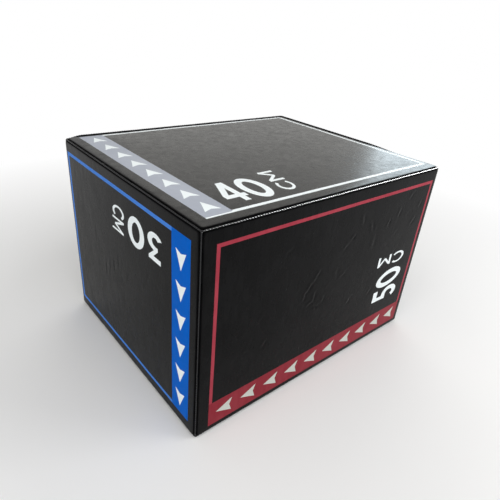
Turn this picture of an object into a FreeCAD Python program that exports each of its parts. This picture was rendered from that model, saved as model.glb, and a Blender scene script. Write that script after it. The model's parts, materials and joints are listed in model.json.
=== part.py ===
# Soft plyo box: a piped vinyl cover with a zipped back, over foam slabs and a plywood box.
# Millimetres. The origin is the middle of the base, X runs along the longest side and Z is up.
import FreeCAD
import Part
import math
import os
import Sketcher

SIZES = [
    ("length", 480, "outside of the cover along X"),
    ("width", 390, "outside of the cover along Y"),
    ("height", 320, "outside of the cover along Z"),
    ("vinyl", 1.2, "thickness of the cover's vinyl"),
    ("roll", 2.0, "outer radius where a panel turns into its seam"),
    ("seam_depth", 6.5, "how far a panel's seam allowance goes in, square to the face"),
    ("bead", 4.0, "diameter of the welt's piped bead"),
    ("welt_sheet", 1.6, "thickness of the welt's flange"),
    ("welt_reach", 5.0, "how far the welt's flange goes in past the bead, square to the face"),
    ("seam_gap", 0.05, "room between the layers of a seam"),
    ("bead_gap", 0.03, "room between the bead and the rolled edges beside it"),
    ("foam", 50, "thickness of a foam slab"),
    ("relief", 15, "chamfer of the foam along the box's edges, where the seams turn in"),
    ("plywood", 12, "thickness of the boards"),
    ("dado", 4, "depth of the groove that holds the divider"),
    ("board_gap", 0.1, "room round the divider in its grooves"),
    ("finger", 55, "about the width of a finger in the boards' corner joints"),
    ("zip_inset", 32, "middle of the zip from the box's edges"),
    ("zip_corner", 30, "radius of the zip's centre line at its corners"),
    ("zip_slot", 16, "width of the slot between the flap and the border"),
    ("tape", 1.0, "thickness of the zip's tapes"),
    ("tape_edge", 22, "outer edge of a tape from the middle of the zip"),
    ("tooth_pitch", 6.0, "distance between the teeth of one row"),
    ("tooth_gap", 0.25, "room between the flanks of meshed teeth"),
    ("tooth_flare", 0.9, "how much wider a tooth is at its tip than at its root"),
    ("tooth_high", 2.8, "thickness of the teeth across the tapes"),
    ("tooth_cross", 1.2, "how far the teeth reach past the middle of the zip"),
    ("spine_in", 2.8, "inner edge of the bead that carries a row of teeth"),
    ("spine_out", 4.4, "outer edge of that bead, where the tape starts"),
    ("run_gap", 0.3, "room round the teeth and tapes in the slider"),
    ("slider_plate", 1.2, "thickness of the slider's plates"),
    ("slider_long", 20, "length of the slider"),
    ("slider_mouth", 14.6, "width of the slider at its mouth"),
    ("slider_tail", 12.6, "width of the slider at its tail"),
    ("slider_wedge", 3.6, "width of the post that parts the teeth"),
    ("wedge_drop", 6.0, "widest place of that post below the middle of the slider"),
    ("bail_long", 9.0, "length of the loop that carries the pull"),
    ("bail_wide", 3.2, "width of that loop"),
    ("bail_bar", 1.2, "thickness of its bar"),
    ("bail_room", 2.2, "height of its opening"),
    ("pull_thick", 1.5, "thickness of the pull tab"),
    ("pull_long", 30, "length of the pull tab from its bar"),
    ("pull_top", 8.0, "width of the pull tab at its bar"),
    ("pull_end", 11.0, "width of the pull tab at its end"),
    ("pull_corner", 4.4, "corner radius of the pull tab's end"),
    ("pull_window", 6.4, "length of the window round the loop"),
    ("pull_hole", 5.0, "diameter of the hole in the pull's end"),
    ("pull_gap", 0.35, "room between the hanging pull and the tab behind it"),
    ("stop_long", 3.0, "length of the zip's end stops"),
    ("stop_high", 3.4, "thickness of the zip's stops"),
    ("tab_wide", 36, "width of the tabs over the zip's ends"),
    ("tab_high", 18, "height of those tabs"),
    ("tab_corner", 4, "corner radius of those tabs"),
    ("tab_base", 7.5, "lower edge of those tabs above the base"),
]

doc = FreeCAD.newDocument("plyo_box")
vector = FreeCAD.Vector
sheet = doc.addObject("Spreadsheet::Sheet", "Sizes")
for row, (alias, size, note) in enumerate(SIZES, 1):
    sheet.set(f"A{row}", alias)
    sheet.set(f"B{row}", str(size))
    sheet.setAlias(f"B{row}", alias)
    sheet.set(f"C{row}", note)
doc.recompute()

# Places that several pieces share, worked out from the sheet
SEAM_INSET = "((Sizes.welt_sheet / 2 + Sizes.seam_gap) * sqrt(2))"
TURNED_WALL = "(Sizes.vinyl * sqrt(2))"
# The bead lies on the corner's bisector, as deep as it goes between the two rolled edges:
# ROLL_INSET is the middle of a rolled edge from the corner, along the face.
ROLL_INSET = f"({SEAM_INSET} + Sizes.roll * (1 + sqrt(2)))"
BEAD_TOUCH = "(Sizes.bead / 2 + Sizes.roll + Sizes.bead_gap)"
BEAD_DEPTH = f"(({ROLL_INSET} + Sizes.roll - sqrt(2 * {BEAD_TOUCH}^2 - ({ROLL_INSET} - Sizes.roll)^2)) / 2)"
ZIP_HALF = "(Sizes.length / 2 - Sizes.zip_inset)"
ZIP_TOP = "(Sizes.height - Sizes.zip_inset)"
TAPE_MIDDLE = "(Sizes.width / 2 - Sizes.vinyl - Sizes.tape / 2)"
TAB_TOP = "(Sizes.tab_base + Sizes.tab_high)"
STOP_BASE = f"({TAB_TOP} + Sizes.run_gap)"
SLIDER_REST = f"({STOP_BASE} + Sizes.stop_long + Sizes.run_gap + Sizes.slider_long / 2)"
CHAIN_HALF = "(Sizes.tooth_high / 2 + Sizes.run_gap)"
PLATE_TOP = f"({CHAIN_HALF} + Sizes.slider_plate)"
TAB_OUTSIDE = "(2 * Sizes.vinyl + Sizes.tape / 2)"
ABOVE_TAB = f"({TAB_OUTSIDE} + Sizes.pull_gap + Sizes.pull_thick / 2)"
PULL_AXIS = f"max({PLATE_TOP} + Sizes.bail_room / 2; {ABOVE_TAB})"
CORE_X = "(Sizes.length - 2 * Sizes.vinyl)"
CORE_Y = "(Sizes.width - 2 * Sizes.vinyl)"
CORE_Z = "(Sizes.height - 2 * Sizes.vinyl)"
WOOD_X = f"({CORE_X} - 2 * Sizes.foam)"
WOOD_Y = f"({CORE_Y} - 2 * Sizes.foam)"
WOOD_Z = f"({CORE_Z} - 2 * Sizes.foam)"


def number(expression):
    """The value of an expression on the sheet."""
    return float(sheet.evalExpression(expression))


def bind(thing, expressions):
    """Tie properties of a thing to expressions on the sheet."""
    for name, expression in expressions.items():
        thing.setExpression(name, expression)


def place(thing, where, axis=(0, 0, 1), angle=0):
    """Turn a thing and tie its place to three expressions."""
    thing.Placement = FreeCAD.Placement(vector(), FreeCAD.Rotation(vector(*axis), angle))
    for letter, expression in zip("xyz", where):
        thing.setExpression(f"Placement.Base.{letter}", expression)


def new_body(name):
    body = doc.addObject("PartDesign::Body", name)
    body.Label = name
    return body


def new_sketch(body, name, role, shift=("0", "0", "0")):
    """A sketch on one of the body's own planes, shifted in that plane's axes."""
    sketch = body.newObject("Sketcher::SketchObject", name)
    plane = [part for part in body.Origin.OriginFeatures if part.Role == role][0]
    sketch.AttachmentSupport = [(plane, "")]
    sketch.MapMode = "FlatFace"
    for letter, expression in zip("xyz", shift):
        sketch.setExpression(f"AttachmentOffset.Base.{letter}", expression)
    return sketch


def hold(sketch, kind, places, expression):
    """A dimension in a sketch, tied to the sheet."""
    constraint = Sketcher.Constraint(kind, *places, number(expression))
    sketch.setExpression(f"Constraints[{sketch.addConstraint(constraint)}]", expression)


def draw_lines(sketch, points):
    """A closed run of lines joined at their ends."""
    count = len(points)
    for index in range(count):
        start = vector(*points[index], 0)
        end = vector(*points[(index + 1) % count], 0)
        sketch.addGeometry(Part.LineSegment(start, end))
    for index in range(count):
        sketch.addConstraint(Sketcher.Constraint("Coincident", index, 2, (index + 1) % count, 1))


def draw_rectangle(sketch, across, up):
    """A rectangle about the sketch's origin."""
    x = number(across) / 2
    y = number(up) / 2
    draw_lines(sketch, [(-x, -y), (x, -y), (x, y), (-x, y)])
    for line in (0, 2):
        sketch.addConstraint(Sketcher.Constraint("Horizontal", line))
        sketch.addConstraint(Sketcher.Constraint("Vertical", line + 1))
    sketch.addConstraint(Sketcher.Constraint("Symmetric", 0, 1, 2, 1, -1, 1))
    hold(sketch, "DistanceX", (0, 1, 0, 2), across)
    hold(sketch, "DistanceY", (1, 1, 1, 2), up)


def draw_loop(sketch, half_across, half_up):
    """A rectangular path that starts and ends halfway along one side."""
    x = number(half_across)
    y = number(half_up)
    draw_lines(sketch, [(x, 0), (x, y), (-x, y), (-x, -y), (x, -y)])
    for line in (0, 2, 4):
        sketch.addConstraint(Sketcher.Constraint("Vertical", line))
    for line in (1, 3):
        sketch.addConstraint(Sketcher.Constraint("Horizontal", line))
    sketch.addConstraint(Sketcher.Constraint("PointOnObject", 0, 1, -1))
    hold(sketch, "DistanceX", (-1, 1, 0, 1), half_across)
    hold(sketch, "DistanceY", (-1, 1, 0, 2), half_up)
    hold(sketch, "DistanceX", (1, 2, -1, 1), half_across)
    hold(sketch, "DistanceY", (2, 2, -1, 1), half_up)


def draw_rounded_rectangle(sketch, across, up, corner):
    """A rectangle about the sketch's origin with four equal round corners."""
    x = number(across) / 2
    y = number(up) / 2
    r = number(corner)
    middles = [(x - r, y - r), (r - x, y - r), (r - x, r - y), (x - r, r - y)]
    for quarter, middle in enumerate(middles):
        circle = Part.Circle(vector(*middle, 0), vector(0, 0, 1), r)
        start = quarter * math.pi / 2
        sketch.addGeometry(Part.ArcOfCircle(circle, start, start + math.pi / 2))
    sides = [((x - r, y), (r - x, y)), ((-x, y - r), (-x, r - y))]
    sides += [((r - x, -y), (x - r, -y)), ((x, r - y), (x, y - r))]
    for start, end in sides:
        sketch.addGeometry(Part.LineSegment(vector(*start, 0), vector(*end, 0)))
    for quarter in range(4):
        side = 4 + quarter
        direction = "Vertical" if quarter % 2 else "Horizontal"
        sketch.addConstraint(Sketcher.Constraint("Tangent", quarter, 2, side, 1))
        sketch.addConstraint(Sketcher.Constraint("Tangent", side, 2, (quarter + 1) % 4, 1))
        sketch.addConstraint(Sketcher.Constraint(direction, side))
    for quarter in (1, 2, 3):
        sketch.addConstraint(Sketcher.Constraint("Equal", 0, quarter))
    sketch.addConstraint(Sketcher.Constraint("Symmetric", 0, 3, 2, 3, -1, 1))
    hold(sketch, "DistanceX", (5, 1, 7, 1), across)
    hold(sketch, "DistanceY", (6, 1, 4, 1), up)
    hold(sketch, "Radius", (0,), corner)


def draw_circle(sketch, diameter, x="0", y="0"):
    """A circle at two distances from the sketch's origin, either of which may be 0."""
    middle = vector(number(x), number(y), 0)
    sketch.addGeometry(Part.Circle(middle, vector(0, 0, 1), number(diameter) / 2))
    hold(sketch, "Diameter", (0,), diameter)
    for kind, distance, axis in (("DistanceX", x, -2), ("DistanceY", y, -1)):
        if distance == "0":
            sketch.addConstraint(Sketcher.Constraint("PointOnObject", 0, 3, axis))
        else:
            hold(sketch, kind, (-1, 1, 0, 3), distance)


def pad(body, sketch, length, midplane=False, reverse=False):
    feature = body.newObject("PartDesign::Pad", sketch.Name + "_pad")
    feature.Profile = sketch
    feature.Midplane = midplane
    feature.Reversed = reverse
    feature.setExpression("Length", length)
    doc.recompute()
    return feature


def pocket(body, sketch, length, midplane=False, reverse=False):
    """A pocket, with a test that it removes something."""
    before = body.Shape.Volume
    feature = body.newObject("PartDesign::Pocket", sketch.Name + "_pocket")
    feature.Profile = sketch
    feature.Midplane = midplane
    feature.Reversed = reverse
    feature.setExpression("Length", length)
    doc.recompute()
    if body.Shape.Volume >= before:
        raise ValueError(f"{feature.Name} cuts nothing")
    return feature


def round_edges(body, feature, test, radius):
    """Fillet every edge whose points all pass a test."""
    names = []
    for count, edge in enumerate(feature.Shape.Edges, 1):
        if all(test(point) for point in edge.discretize(5)):
            names.append(f"Edge{count}")
    fillet = body.newObject("PartDesign::Fillet", feature.Name + "_round")
    fillet.Base = (feature, names)
    fillet.setExpression("Radius", radius)
    doc.recompute()
    return fillet


def near(first, second):
    return abs(first - second) < 1e-6


def boolean(kind, name, base, tool):
    result = doc.addObject(f"Part::{kind}", name)
    result.Label = name
    result.Base = base
    result.Tool = tool
    return result


def block(name, sizes, middle):
    """A box of three sizes about a middle point."""
    box = doc.addObject("Part::Box", name)
    box.Label = name
    for prop, size in zip(("Length", "Width", "Height"), sizes):
        box.setExpression(prop, size)
    place(box, [f"{at} - ({size}) / 2" for at, size in zip(middle, sizes)])
    return box


def sloped_block(body, kind, name, half_across, half_up, top, bottom):
    """A block whose four sides lean in at 45 degrees, from one depth below the face to another."""
    wedge = body.newObject(f"PartDesign::{kind}", name)
    limits = {"Ymax": f"-({top})", "Ymin": f"-({bottom})"}
    for letter, half in (("X", half_across), ("Z", half_up)):
        limits[f"{letter}2max"] = f"{half} - {top}"
        limits[f"{letter}2min"] = f"{top} - {half}"
        limits[f"{letter}max"] = f"{half} - {bottom}"
        limits[f"{letter}min"] = f"{bottom} - {half}"
    bind(wedge, limits)
    doc.recompute()
    return wedge


# Cover panels: each face turns round a rolled edge into seam allowances that lean in at 45 degrees.
# In its own frame a panel's face is the plane Y = 0, with its outside towards +Y.
def panel(name, across, up, where, axis, angle):
    body = new_body(name)
    half_across = f"({across} / 2 - {SEAM_INSET})"
    half_up = f"({up} / 2 - {SEAM_INSET})"
    inner_across = f"({half_across} - {TURNED_WALL})"
    inner_up = f"({half_up} - {TURNED_WALL})"
    depth = "Sizes.seam_depth"
    sloped_block(body, "AdditiveWedge", f"{name}_sheet", half_across, half_up, "0", depth)
    hollow = sloped_block(
        body, "SubtractiveWedge", f"{name}_hollow", inner_across, inner_up, "Sizes.vinyl", depth
    )
    inside = -number("Sizes.vinyl")
    inner = round_edges(body, hollow, lambda point: near(point.y, inside), "Sizes.roll - Sizes.vinyl")
    round_edges(body, inner, lambda point: near(point.y, 0), "Sizes.roll")
    place(body, where, axis, angle)
    return body


UP = (0, 0, 1)
SIDEWAYS = (1, 0, 0)
MIDDLE = "Sizes.height / 2"
top_panel = panel(
    "top_panel", "Sizes.length", "Sizes.width", ("0", "0", "Sizes.height"), SIDEWAYS, 90
)
bottom_panel = panel(
    "bottom_panel", "Sizes.length", "Sizes.width", ("0", "0", "0"), SIDEWAYS, -90
)
front_panel = panel(
    "front_panel", "Sizes.length", "Sizes.height", ("0", "-Sizes.width / 2", MIDDLE), UP, 180
)
back_sheet = panel(
    "back_sheet", "Sizes.length", "Sizes.height", ("0", "Sizes.width / 2", MIDDLE), UP, 0
)
left_panel = panel(
    "left_panel", "Sizes.width", "Sizes.height", ("-Sizes.length / 2", "0", MIDDLE), UP, 90
)
right_panel = panel(
    "right_panel", "Sizes.width", "Sizes.height", ("Sizes.length / 2", "0", MIDDLE), UP, -90
)
NODES = [top_panel, bottom_panel, front_panel, left_panel, right_panel]


# Welts: a round bead in the groove between two panels, with a flange sewn between their allowances
def welt_loop(name, where, axis, angle):
    body = new_body(name)
    half_flange = "Sizes.welt_sheet / sqrt(2)"
    bottom = f"({BEAD_DEPTH} + Sizes.welt_reach)"
    for kind, side in (("AdditiveWedge", "+"), ("SubtractiveWedge", "-")):
        sloped_block(
            body,
            kind,
            f"{name}_{kind}",
            f"(Sizes.length / 2 {side} {half_flange})",
            f"(Sizes.width / 2 {side} {half_flange})",
            BEAD_DEPTH,
            bottom,
        )
    half_across = f"(Sizes.length / 2 - {BEAD_DEPTH})"
    half_up = f"(Sizes.width / 2 - {BEAD_DEPTH})"
    path = new_sketch(body, f"{name}_path", "XZ_Plane", ("0", "0", BEAD_DEPTH))
    draw_loop(path, half_across, half_up)
    section = new_sketch(body, f"{name}_section", "XY_Plane")
    draw_circle(section, "Sizes.bead", half_across, f"-{BEAD_DEPTH}")
    bead = body.newObject("PartDesign::AdditivePipe", f"{name}_bead")
    bead.Profile = section
    bead.Spine = path
    bead.Transition = "Right corner"
    doc.recompute()
    place(body, where, axis, angle)
    return body


def upright_welt(name, side_x, side_y):
    """A straight welt in an upright corner, between the top and bottom loops."""
    body = new_body(name)
    foot = f"({BEAD_DEPTH} + (Sizes.welt_sheet + Sizes.bead / 2) / sqrt(2) + Sizes.seam_gap)"
    section = new_sketch(body, f"{name}_section", "XY_Plane", ("0", "0", foot))
    draw_circle(section, "Sizes.bead")
    pad(body, section, f"Sizes.height - 2 * {foot}")
    reach = "(Sizes.welt_reach * sqrt(2))"
    trim = f"({BEAD_DEPTH} + Sizes.bead / 2 + Sizes.welt_reach)"
    flange = new_sketch(body, f"{name}_flange", "XY_Plane", (f"{reach} / 2", "0", trim))
    draw_rectangle(flange, reach, "Sizes.welt_sheet")
    pad(body, flange, f"Sizes.height - 2 * {trim}")
    where = (
        f"{side_x} * (Sizes.length / 2 - {BEAD_DEPTH})",
        f"{side_y} * (Sizes.width / 2 - {BEAD_DEPTH})",
        "0",
    )
    place(body, where, UP, math.degrees(math.atan2(-side_y, -side_x)))
    return body


NODES.append(welt_loop("welt_top", ("0", "0", "Sizes.height"), SIDEWAYS, 90))
NODES.append(welt_loop("welt_bottom", ("0", "0", "0"), SIDEWAYS, -90))
for depth_name, depth_side in (("front", -1), ("back", 1)):
    for side_name, side in (("left", -1), ("right", 1)):
        NODES.append(upright_welt(f"welt_{depth_name}_{side_name}", side, depth_side))


# Zipped back: the zip goes up one side of the back face, across the top and down the other side
def arch(name, offset, bottom, outside, depth):
    """A plate in the shape of an arch that lies at an offset outside the zip's centre line."""
    body = new_body(name)
    half = f"({ZIP_HALF} + {offset})"
    top = f"({ZIP_TOP} + {offset})"
    corner = f"(Sizes.zip_corner + {offset})"
    sketch = new_sketch(body, f"{name}_outline", "XZ_Plane", ("0", "0", f"-({outside})"))
    x = number(half)
    z = number(top)
    r = number(corner)
    low = number(bottom)
    sketch.addGeometry(Part.LineSegment(vector(-x, low, 0), vector(x, low, 0)))
    sketch.addGeometry(Part.LineSegment(vector(x, low, 0), vector(x, z - r, 0)))
    right = Part.Circle(vector(x - r, z - r, 0), vector(0, 0, 1), r)
    sketch.addGeometry(Part.ArcOfCircle(right, 0, math.pi / 2))
    sketch.addGeometry(Part.LineSegment(vector(x - r, z, 0), vector(r - x, z, 0)))
    left = Part.Circle(vector(r - x, z - r, 0), vector(0, 0, 1), r)
    sketch.addGeometry(Part.ArcOfCircle(left, math.pi / 2, math.pi))
    sketch.addGeometry(Part.LineSegment(vector(-x, z - r, 0), vector(-x, low, 0)))
    sketch.addConstraint(Sketcher.Constraint("Coincident", 0, 2, 1, 1))
    sketch.addConstraint(Sketcher.Constraint("Coincident", 5, 2, 0, 1))
    for curve in range(1, 5):
        sketch.addConstraint(Sketcher.Constraint("Tangent", curve, 2, curve + 1, 1))
    sketch.addConstraint(Sketcher.Constraint("Horizontal", 3))
    for line in (1, 5):
        sketch.addConstraint(Sketcher.Constraint("Vertical", line))
    sketch.addConstraint(Sketcher.Constraint("Equal", 2, 4))
    sketch.addConstraint(Sketcher.Constraint("Symmetric", 0, 1, 0, 2, -2))
    hold(sketch, "DistanceX", (0, 1, 0, 2), f"2 * {half}")
    hold(sketch, "DistanceY", (-1, 1, 3, 1), top)
    hold(sketch, "DistanceY", (-1, 1, 0, 1), bottom)
    hold(sketch, "Radius", (2,), corner)
    pad(body, sketch, depth)
    return body


PAST_SHEET = "(Sizes.width / 2 + Sizes.seam_depth)"
BELOW_BASE = "-Sizes.seam_depth"
slot_space = arch("slot_space", "Sizes.zip_slot / 2", BELOW_BASE, PAST_SHEET, "3 * Sizes.seam_depth")
flap_space = arch("flap_space", "-Sizes.zip_slot / 2", BELOW_BASE, PAST_SHEET, "3 * Sizes.seam_depth")
NODES.append(boolean("Cut", "back_border", back_sheet, slot_space))
NODES.append(boolean("Common", "back_flap", back_sheet, flap_space))


def u_strip(name, inner, outer, bottom, outside, depth):
    """A strip along the zip between two offsets from its centre line."""
    whole = arch(f"{name}_whole", outer, bottom, outside, depth)
    middle = arch(f"{name}_middle", inner, f"({bottom} - Sizes.seam_depth)", outside, depth)
    return boolean("Cut", name, whole, middle)


UNDER_SHEET = "(Sizes.width / 2 - Sizes.vinyl)"
TAPES = [
    ("zip_tape_border", "Sizes.spine_out", "Sizes.tape_edge"),
    ("zip_tape_flap", "-Sizes.tape_edge", "-Sizes.spine_out"),
]
for tape_name, tape_inner, tape_outer in TAPES:
    tape_strip = u_strip(tape_name, tape_inner, tape_outer, "Sizes.tab_base", UNDER_SHEET, "Sizes.tape")
    NODES.append(tape_strip)


# Zip teeth: two combs of dovetail teeth that mesh along the zip's centre line
def zip_point(along, across):
    """A point at a length along the zip from its start, and a distance towards the border."""
    half = number(ZIP_HALF)
    radius = number("Sizes.zip_corner")
    top = number(ZIP_TOP)
    leg = top - radius - number(SLIDER_REST)
    turn = radius * math.pi / 2
    run = 2 * (half - radius)
    if along <= leg:
        return vector(-half - across, 0, top - radius - leg + along)
    if along <= leg + turn:
        angle = (along - leg) / radius
        reach = radius + across
        return vector(radius - half - reach * math.cos(angle), 0, top - radius + reach * math.sin(angle))
    if along <= leg + turn + run:
        return vector(radius - half + along - leg - turn, 0, top + across)
    if along <= leg + 2 * turn + run:
        angle = (along - leg - turn - run) / radius
        reach = radius + across
        return vector(half - radius + reach * math.sin(angle), 0, top - radius + reach * math.cos(angle))
    return vector(half + across, 0, top - radius - (along - leg - 2 * turn - run))


def zip_length():
    legs = 2 * (number(ZIP_TOP) - number("Sizes.zip_corner") - number(SLIDER_REST))
    turns = math.pi * number("Sizes.zip_corner")
    return legs + turns + 2 * (number(ZIP_HALF) - number("Sizes.zip_corner"))


def tooth_row(name, side, first):
    """One row of teeth on its bead. side is 1 for the border's row and -1 for the flap's."""
    pitch = number("Sizes.tooth_pitch")
    flare = number("Sizes.tooth_flare")
    middle_width = pitch / 2 - number("Sizes.tooth_gap")
    root = side * number("Sizes.spine_in")
    tip = -side * number("Sizes.tooth_cross")
    back = side * number("Sizes.spine_out")
    count = int((zip_length() - pitch) / pitch)
    points = [zip_point(0, root)]
    for index in range(count):
        middle = (index + first) * pitch
        half_root = (middle_width - flare / 2) / 2
        half_tip = (middle_width + flare / 2) / 2
        points.append(zip_point(middle - half_root, root))
        points.append(zip_point(middle - half_tip, tip))
        points.append(zip_point(middle + half_tip, tip))
        points.append(zip_point(middle + half_root, root))
    points.append(zip_point(zip_length(), root))
    leg = number(ZIP_TOP) - number("Sizes.zip_corner") - number(SLIDER_REST)
    turn = number("Sizes.zip_corner") * math.pi / 2
    turns = [(zip_length() - leg, -turn), (leg + turn, -turn)]
    points.append(zip_point(zip_length(), back))
    edges = [Part.makePolygon(points)]
    start = points[-1]
    for begin, step in turns:
        near_end = zip_point(begin, back)
        bend = zip_point(begin + step / 2, back)
        far_end = zip_point(begin + step, back)
        edges.append(Part.LineSegment(start, near_end).toShape())
        edges.append(Part.Arc(near_end, bend, far_end).toShape())
        start = far_end
    edges.append(Part.makePolygon([start, zip_point(0, back), points[0]]))
    face = Part.Face(Part.Wire([edge for piece in edges for edge in piece.Edges]))
    row = doc.addObject("Part::Feature", name)
    row.Label = name
    row.Shape = face.extrude(vector(0, number("Sizes.tooth_high"), 0))
    row.Placement.Base = vector(0, number(TAPE_MIDDLE) - number("Sizes.tooth_high") / 2, 0)
    return row


NODES.append(tooth_row("zip_teeth_border", 1, 0.5))
NODES.append(tooth_row("zip_teeth_flap", -1, 1.0))


# Zip slider: two plates joined by the wedge that parts the teeth, with rails over the tapes and a loop
def slider_outline(sketch, narrowing):
    """A plate that is widest at its mouth, which faces down, and narrower at its tail."""
    half = number("Sizes.slider_long") / 2
    mouth = f"(Sizes.slider_mouth - 2 * {narrowing})"
    tail = f"(Sizes.slider_tail - 2 * {narrowing})"
    m = number(mouth) / 2
    e = number(tail) / 2
    draw_lines(sketch, [(-m, -half), (m, -half), (m, 0), (e, half), (-e, half), (-m, 0)])
    for line in (1, 5):
        sketch.addConstraint(Sketcher.Constraint("Vertical", line))
    sketch.addConstraint(Sketcher.Constraint("Symmetric", 0, 1, 0, 2, -2))
    sketch.addConstraint(Sketcher.Constraint("Symmetric", 3, 1, 3, 2, -2))
    sketch.addConstraint(Sketcher.Constraint("PointOnObject", 1, 2, -1))
    sketch.addConstraint(Sketcher.Constraint("PointOnObject", 5, 1, -1))
    hold(sketch, "DistanceX", (0, 1, 0, 2), mouth)
    hold(sketch, "DistanceX", (3, 2, 3, 1), tail)
    hold(sketch, "DistanceY", (0, 1, -1, 1), "Sizes.slider_long / 2")
    hold(sketch, "DistanceY", (-1, 1, 3, 1), "Sizes.slider_long / 2")


def zip_slider():
    """The slider in its own frame: the zip runs along Z in the plane Y = 0, outside towards +Y."""
    body = new_body("zip_slider")
    rail_low = "(Sizes.tape / 2 + Sizes.run_gap)"
    channel = "2 * (Sizes.spine_out + Sizes.run_gap)"
    outline = new_sketch(body, "slider_outline", "XZ_Plane", ("0", "0", f"-{PLATE_TOP}"))
    slider_outline(outline, "0")
    pad(body, outline, f"2 * {PLATE_TOP}")
    chain = new_sketch(body, "slider_chain", "XZ_Plane")
    draw_rectangle(chain, channel, "2 * Sizes.slider_long")
    pocket(body, chain, f"2 * {CHAIN_HALF}", midplane=True)
    tape = new_sketch(body, "slider_tape", "XZ_Plane")
    draw_rectangle(tape, "2 * Sizes.slider_mouth", "2 * Sizes.slider_long")
    pocket(body, tape, f"2 * {rail_low}", midplane=True)
    return body


def slider_wedge():
    """The post between the plates: widest near the mouth and pointed towards the tail."""
    body = new_body("slider_post")
    half = number("Sizes.slider_wedge") / 2
    low = number("Sizes.slider_long") / 2
    shoulder = number("Sizes.wedge_drop")
    sketch = new_sketch(body, "post_outline", "XZ_Plane")
    draw_lines(sketch, [(0, -low), (half, -shoulder), (0, 0), (-half, -shoulder)])
    sketch.addConstraint(Sketcher.Constraint("PointOnObject", 0, 1, -2))
    sketch.addConstraint(Sketcher.Constraint("Coincident", 2, 1, -1, 1))
    sketch.addConstraint(Sketcher.Constraint("Symmetric", 0, 2, 2, 2, -2))
    hold(sketch, "DistanceY", (0, 1, -1, 1), "Sizes.slider_long / 2")
    hold(sketch, "DistanceX", (2, 2, 0, 2), "Sizes.slider_wedge")
    hold(sketch, "DistanceY", (0, 2, -1, 1), "Sizes.wedge_drop")
    pad(body, sketch, f"2 * {PLATE_TOP}", midplane=True)
    return body


def slider_bail():
    """The loop on the outer plate that the pull tab swings on."""
    body = new_body("slider_loop")
    base = f"({PLATE_TOP} - Sizes.slider_plate / 2)"
    top = f"({PULL_AXIS} + Sizes.bail_room / 2 + Sizes.bail_bar)"
    middle = f"({base} + {top}) / 2"
    outline = new_sketch(body, "loop_outline", "YZ_Plane", (middle, "0", "0"))
    draw_rectangle(outline, f"{top} - {base}", "Sizes.bail_long")
    solid = pad(body, outline, "Sizes.bail_wide", midplane=True)
    height = number(top)
    half = number("Sizes.bail_long") / 2

    def at_shoulder(point):
        return near(point.y, height) and near(abs(point.z), half)

    round_edges(body, solid, at_shoulder, "Sizes.bail_bar")
    opening = new_sketch(body, "loop_opening", "YZ_Plane", (PULL_AXIS, "0", "0"))
    draw_rectangle(opening, "Sizes.bail_room", "Sizes.bail_long - 2 * Sizes.bail_bar")
    pocket(body, opening, "2 * Sizes.bail_wide", midplane=True)
    return body


slider = doc.addObject("Part::MultiFuse", "zip_slider_whole")
slider.Label = "zip_slider"
slider.Shapes = [zip_slider(), slider_wedge(), slider_bail()]
slider.Refine = True
place(slider, (ZIP_HALF, TAPE_MIDDLE, SLIDER_REST))
NODES.append(slider)


def zip_pull():
    """The pull tab in its own frame: it hangs along -Z from a round bar along X."""
    body = new_body("zip_pull")
    outline = new_sketch(body, "pull_outline", "XZ_Plane")
    top = number("Sizes.pull_top") / 2
    end = number("Sizes.pull_end") / 2
    low = number("Sizes.pull_long")
    draw_lines(outline, [(-end, -low), (end, -low), (top, 0), (-top, 0)])
    outline.addConstraint(Sketcher.Constraint("Symmetric", 0, 1, 0, 2, -2))
    outline.addConstraint(Sketcher.Constraint("Symmetric", 2, 1, 2, 2, -2))
    outline.addConstraint(Sketcher.Constraint("PointOnObject", 2, 1, -1))
    hold(outline, "DistanceX", (0, 1, 0, 2), "Sizes.pull_end")
    hold(outline, "DistanceX", (2, 2, 2, 1), "Sizes.pull_top")
    hold(outline, "DistanceY", (0, 1, -1, 1), "Sizes.pull_long")
    solid = pad(body, outline, "Sizes.pull_thick", midplane=True)

    def at_foot(point):
        return near(point.z, -low) and near(abs(point.x), end)

    round_edges(body, solid, at_foot, "Sizes.pull_corner")
    window = new_sketch(body, "pull_opening", "XZ_Plane")
    draw_rectangle(window, "Sizes.bail_wide + 2 * Sizes.run_gap", "2 * Sizes.pull_window")
    pocket(body, window, "2 * Sizes.pull_thick", midplane=True)
    hole = new_sketch(body, "pull_hole", "XZ_Plane")
    draw_circle(hole, "Sizes.pull_hole", "0", "Sizes.pull_end / 2 - Sizes.pull_long")
    pocket(body, hole, "2 * Sizes.pull_thick", midplane=True)
    bar = new_sketch(body, "pull_bar", "YZ_Plane")
    draw_circle(bar, "Sizes.pull_thick")
    pad(body, bar, "Sizes.pull_top", midplane=True)
    place(body, (ZIP_HALF, f"{TAPE_MIDDLE} + {PULL_AXIS}", SLIDER_REST))
    return body


NODES.append(zip_pull())

# Zip stops: a clip on each tape below the slider, and one clip across both tapes at the zip's start
stop_middle = f"({STOP_BASE} + Sizes.stop_long / 2)"
clips = []
CLIP_WIDE = "(Sizes.spine_out - Sizes.tooth_cross)"
for clip_side in ("-", "+"):
    clip_x = f"({ZIP_HALF} {clip_side} (Sizes.spine_out - {CLIP_WIDE} / 2))"
    clip_sizes = (CLIP_WIDE, "Sizes.stop_high", "Sizes.stop_long")
    clips.append(block(f"end_clip_{len(clips)}", clip_sizes, (clip_x, TAPE_MIDDLE, stop_middle)))
end_stops = doc.addObject("Part::Compound", "zip_end_stops")
end_stops.Label = "zip_end_stops"
end_stops.Links = clips
NODES.append(end_stops)
start_long = f"({SLIDER_REST} - {STOP_BASE})"
NODES.append(
    block(
        "zip_start_stop",
        ("2 * Sizes.spine_out", "Sizes.stop_high", start_long),
        (f"-{ZIP_HALF}", TAPE_MIDDLE, f"({STOP_BASE} + {start_long} / 2)"),
    )
)


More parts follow.
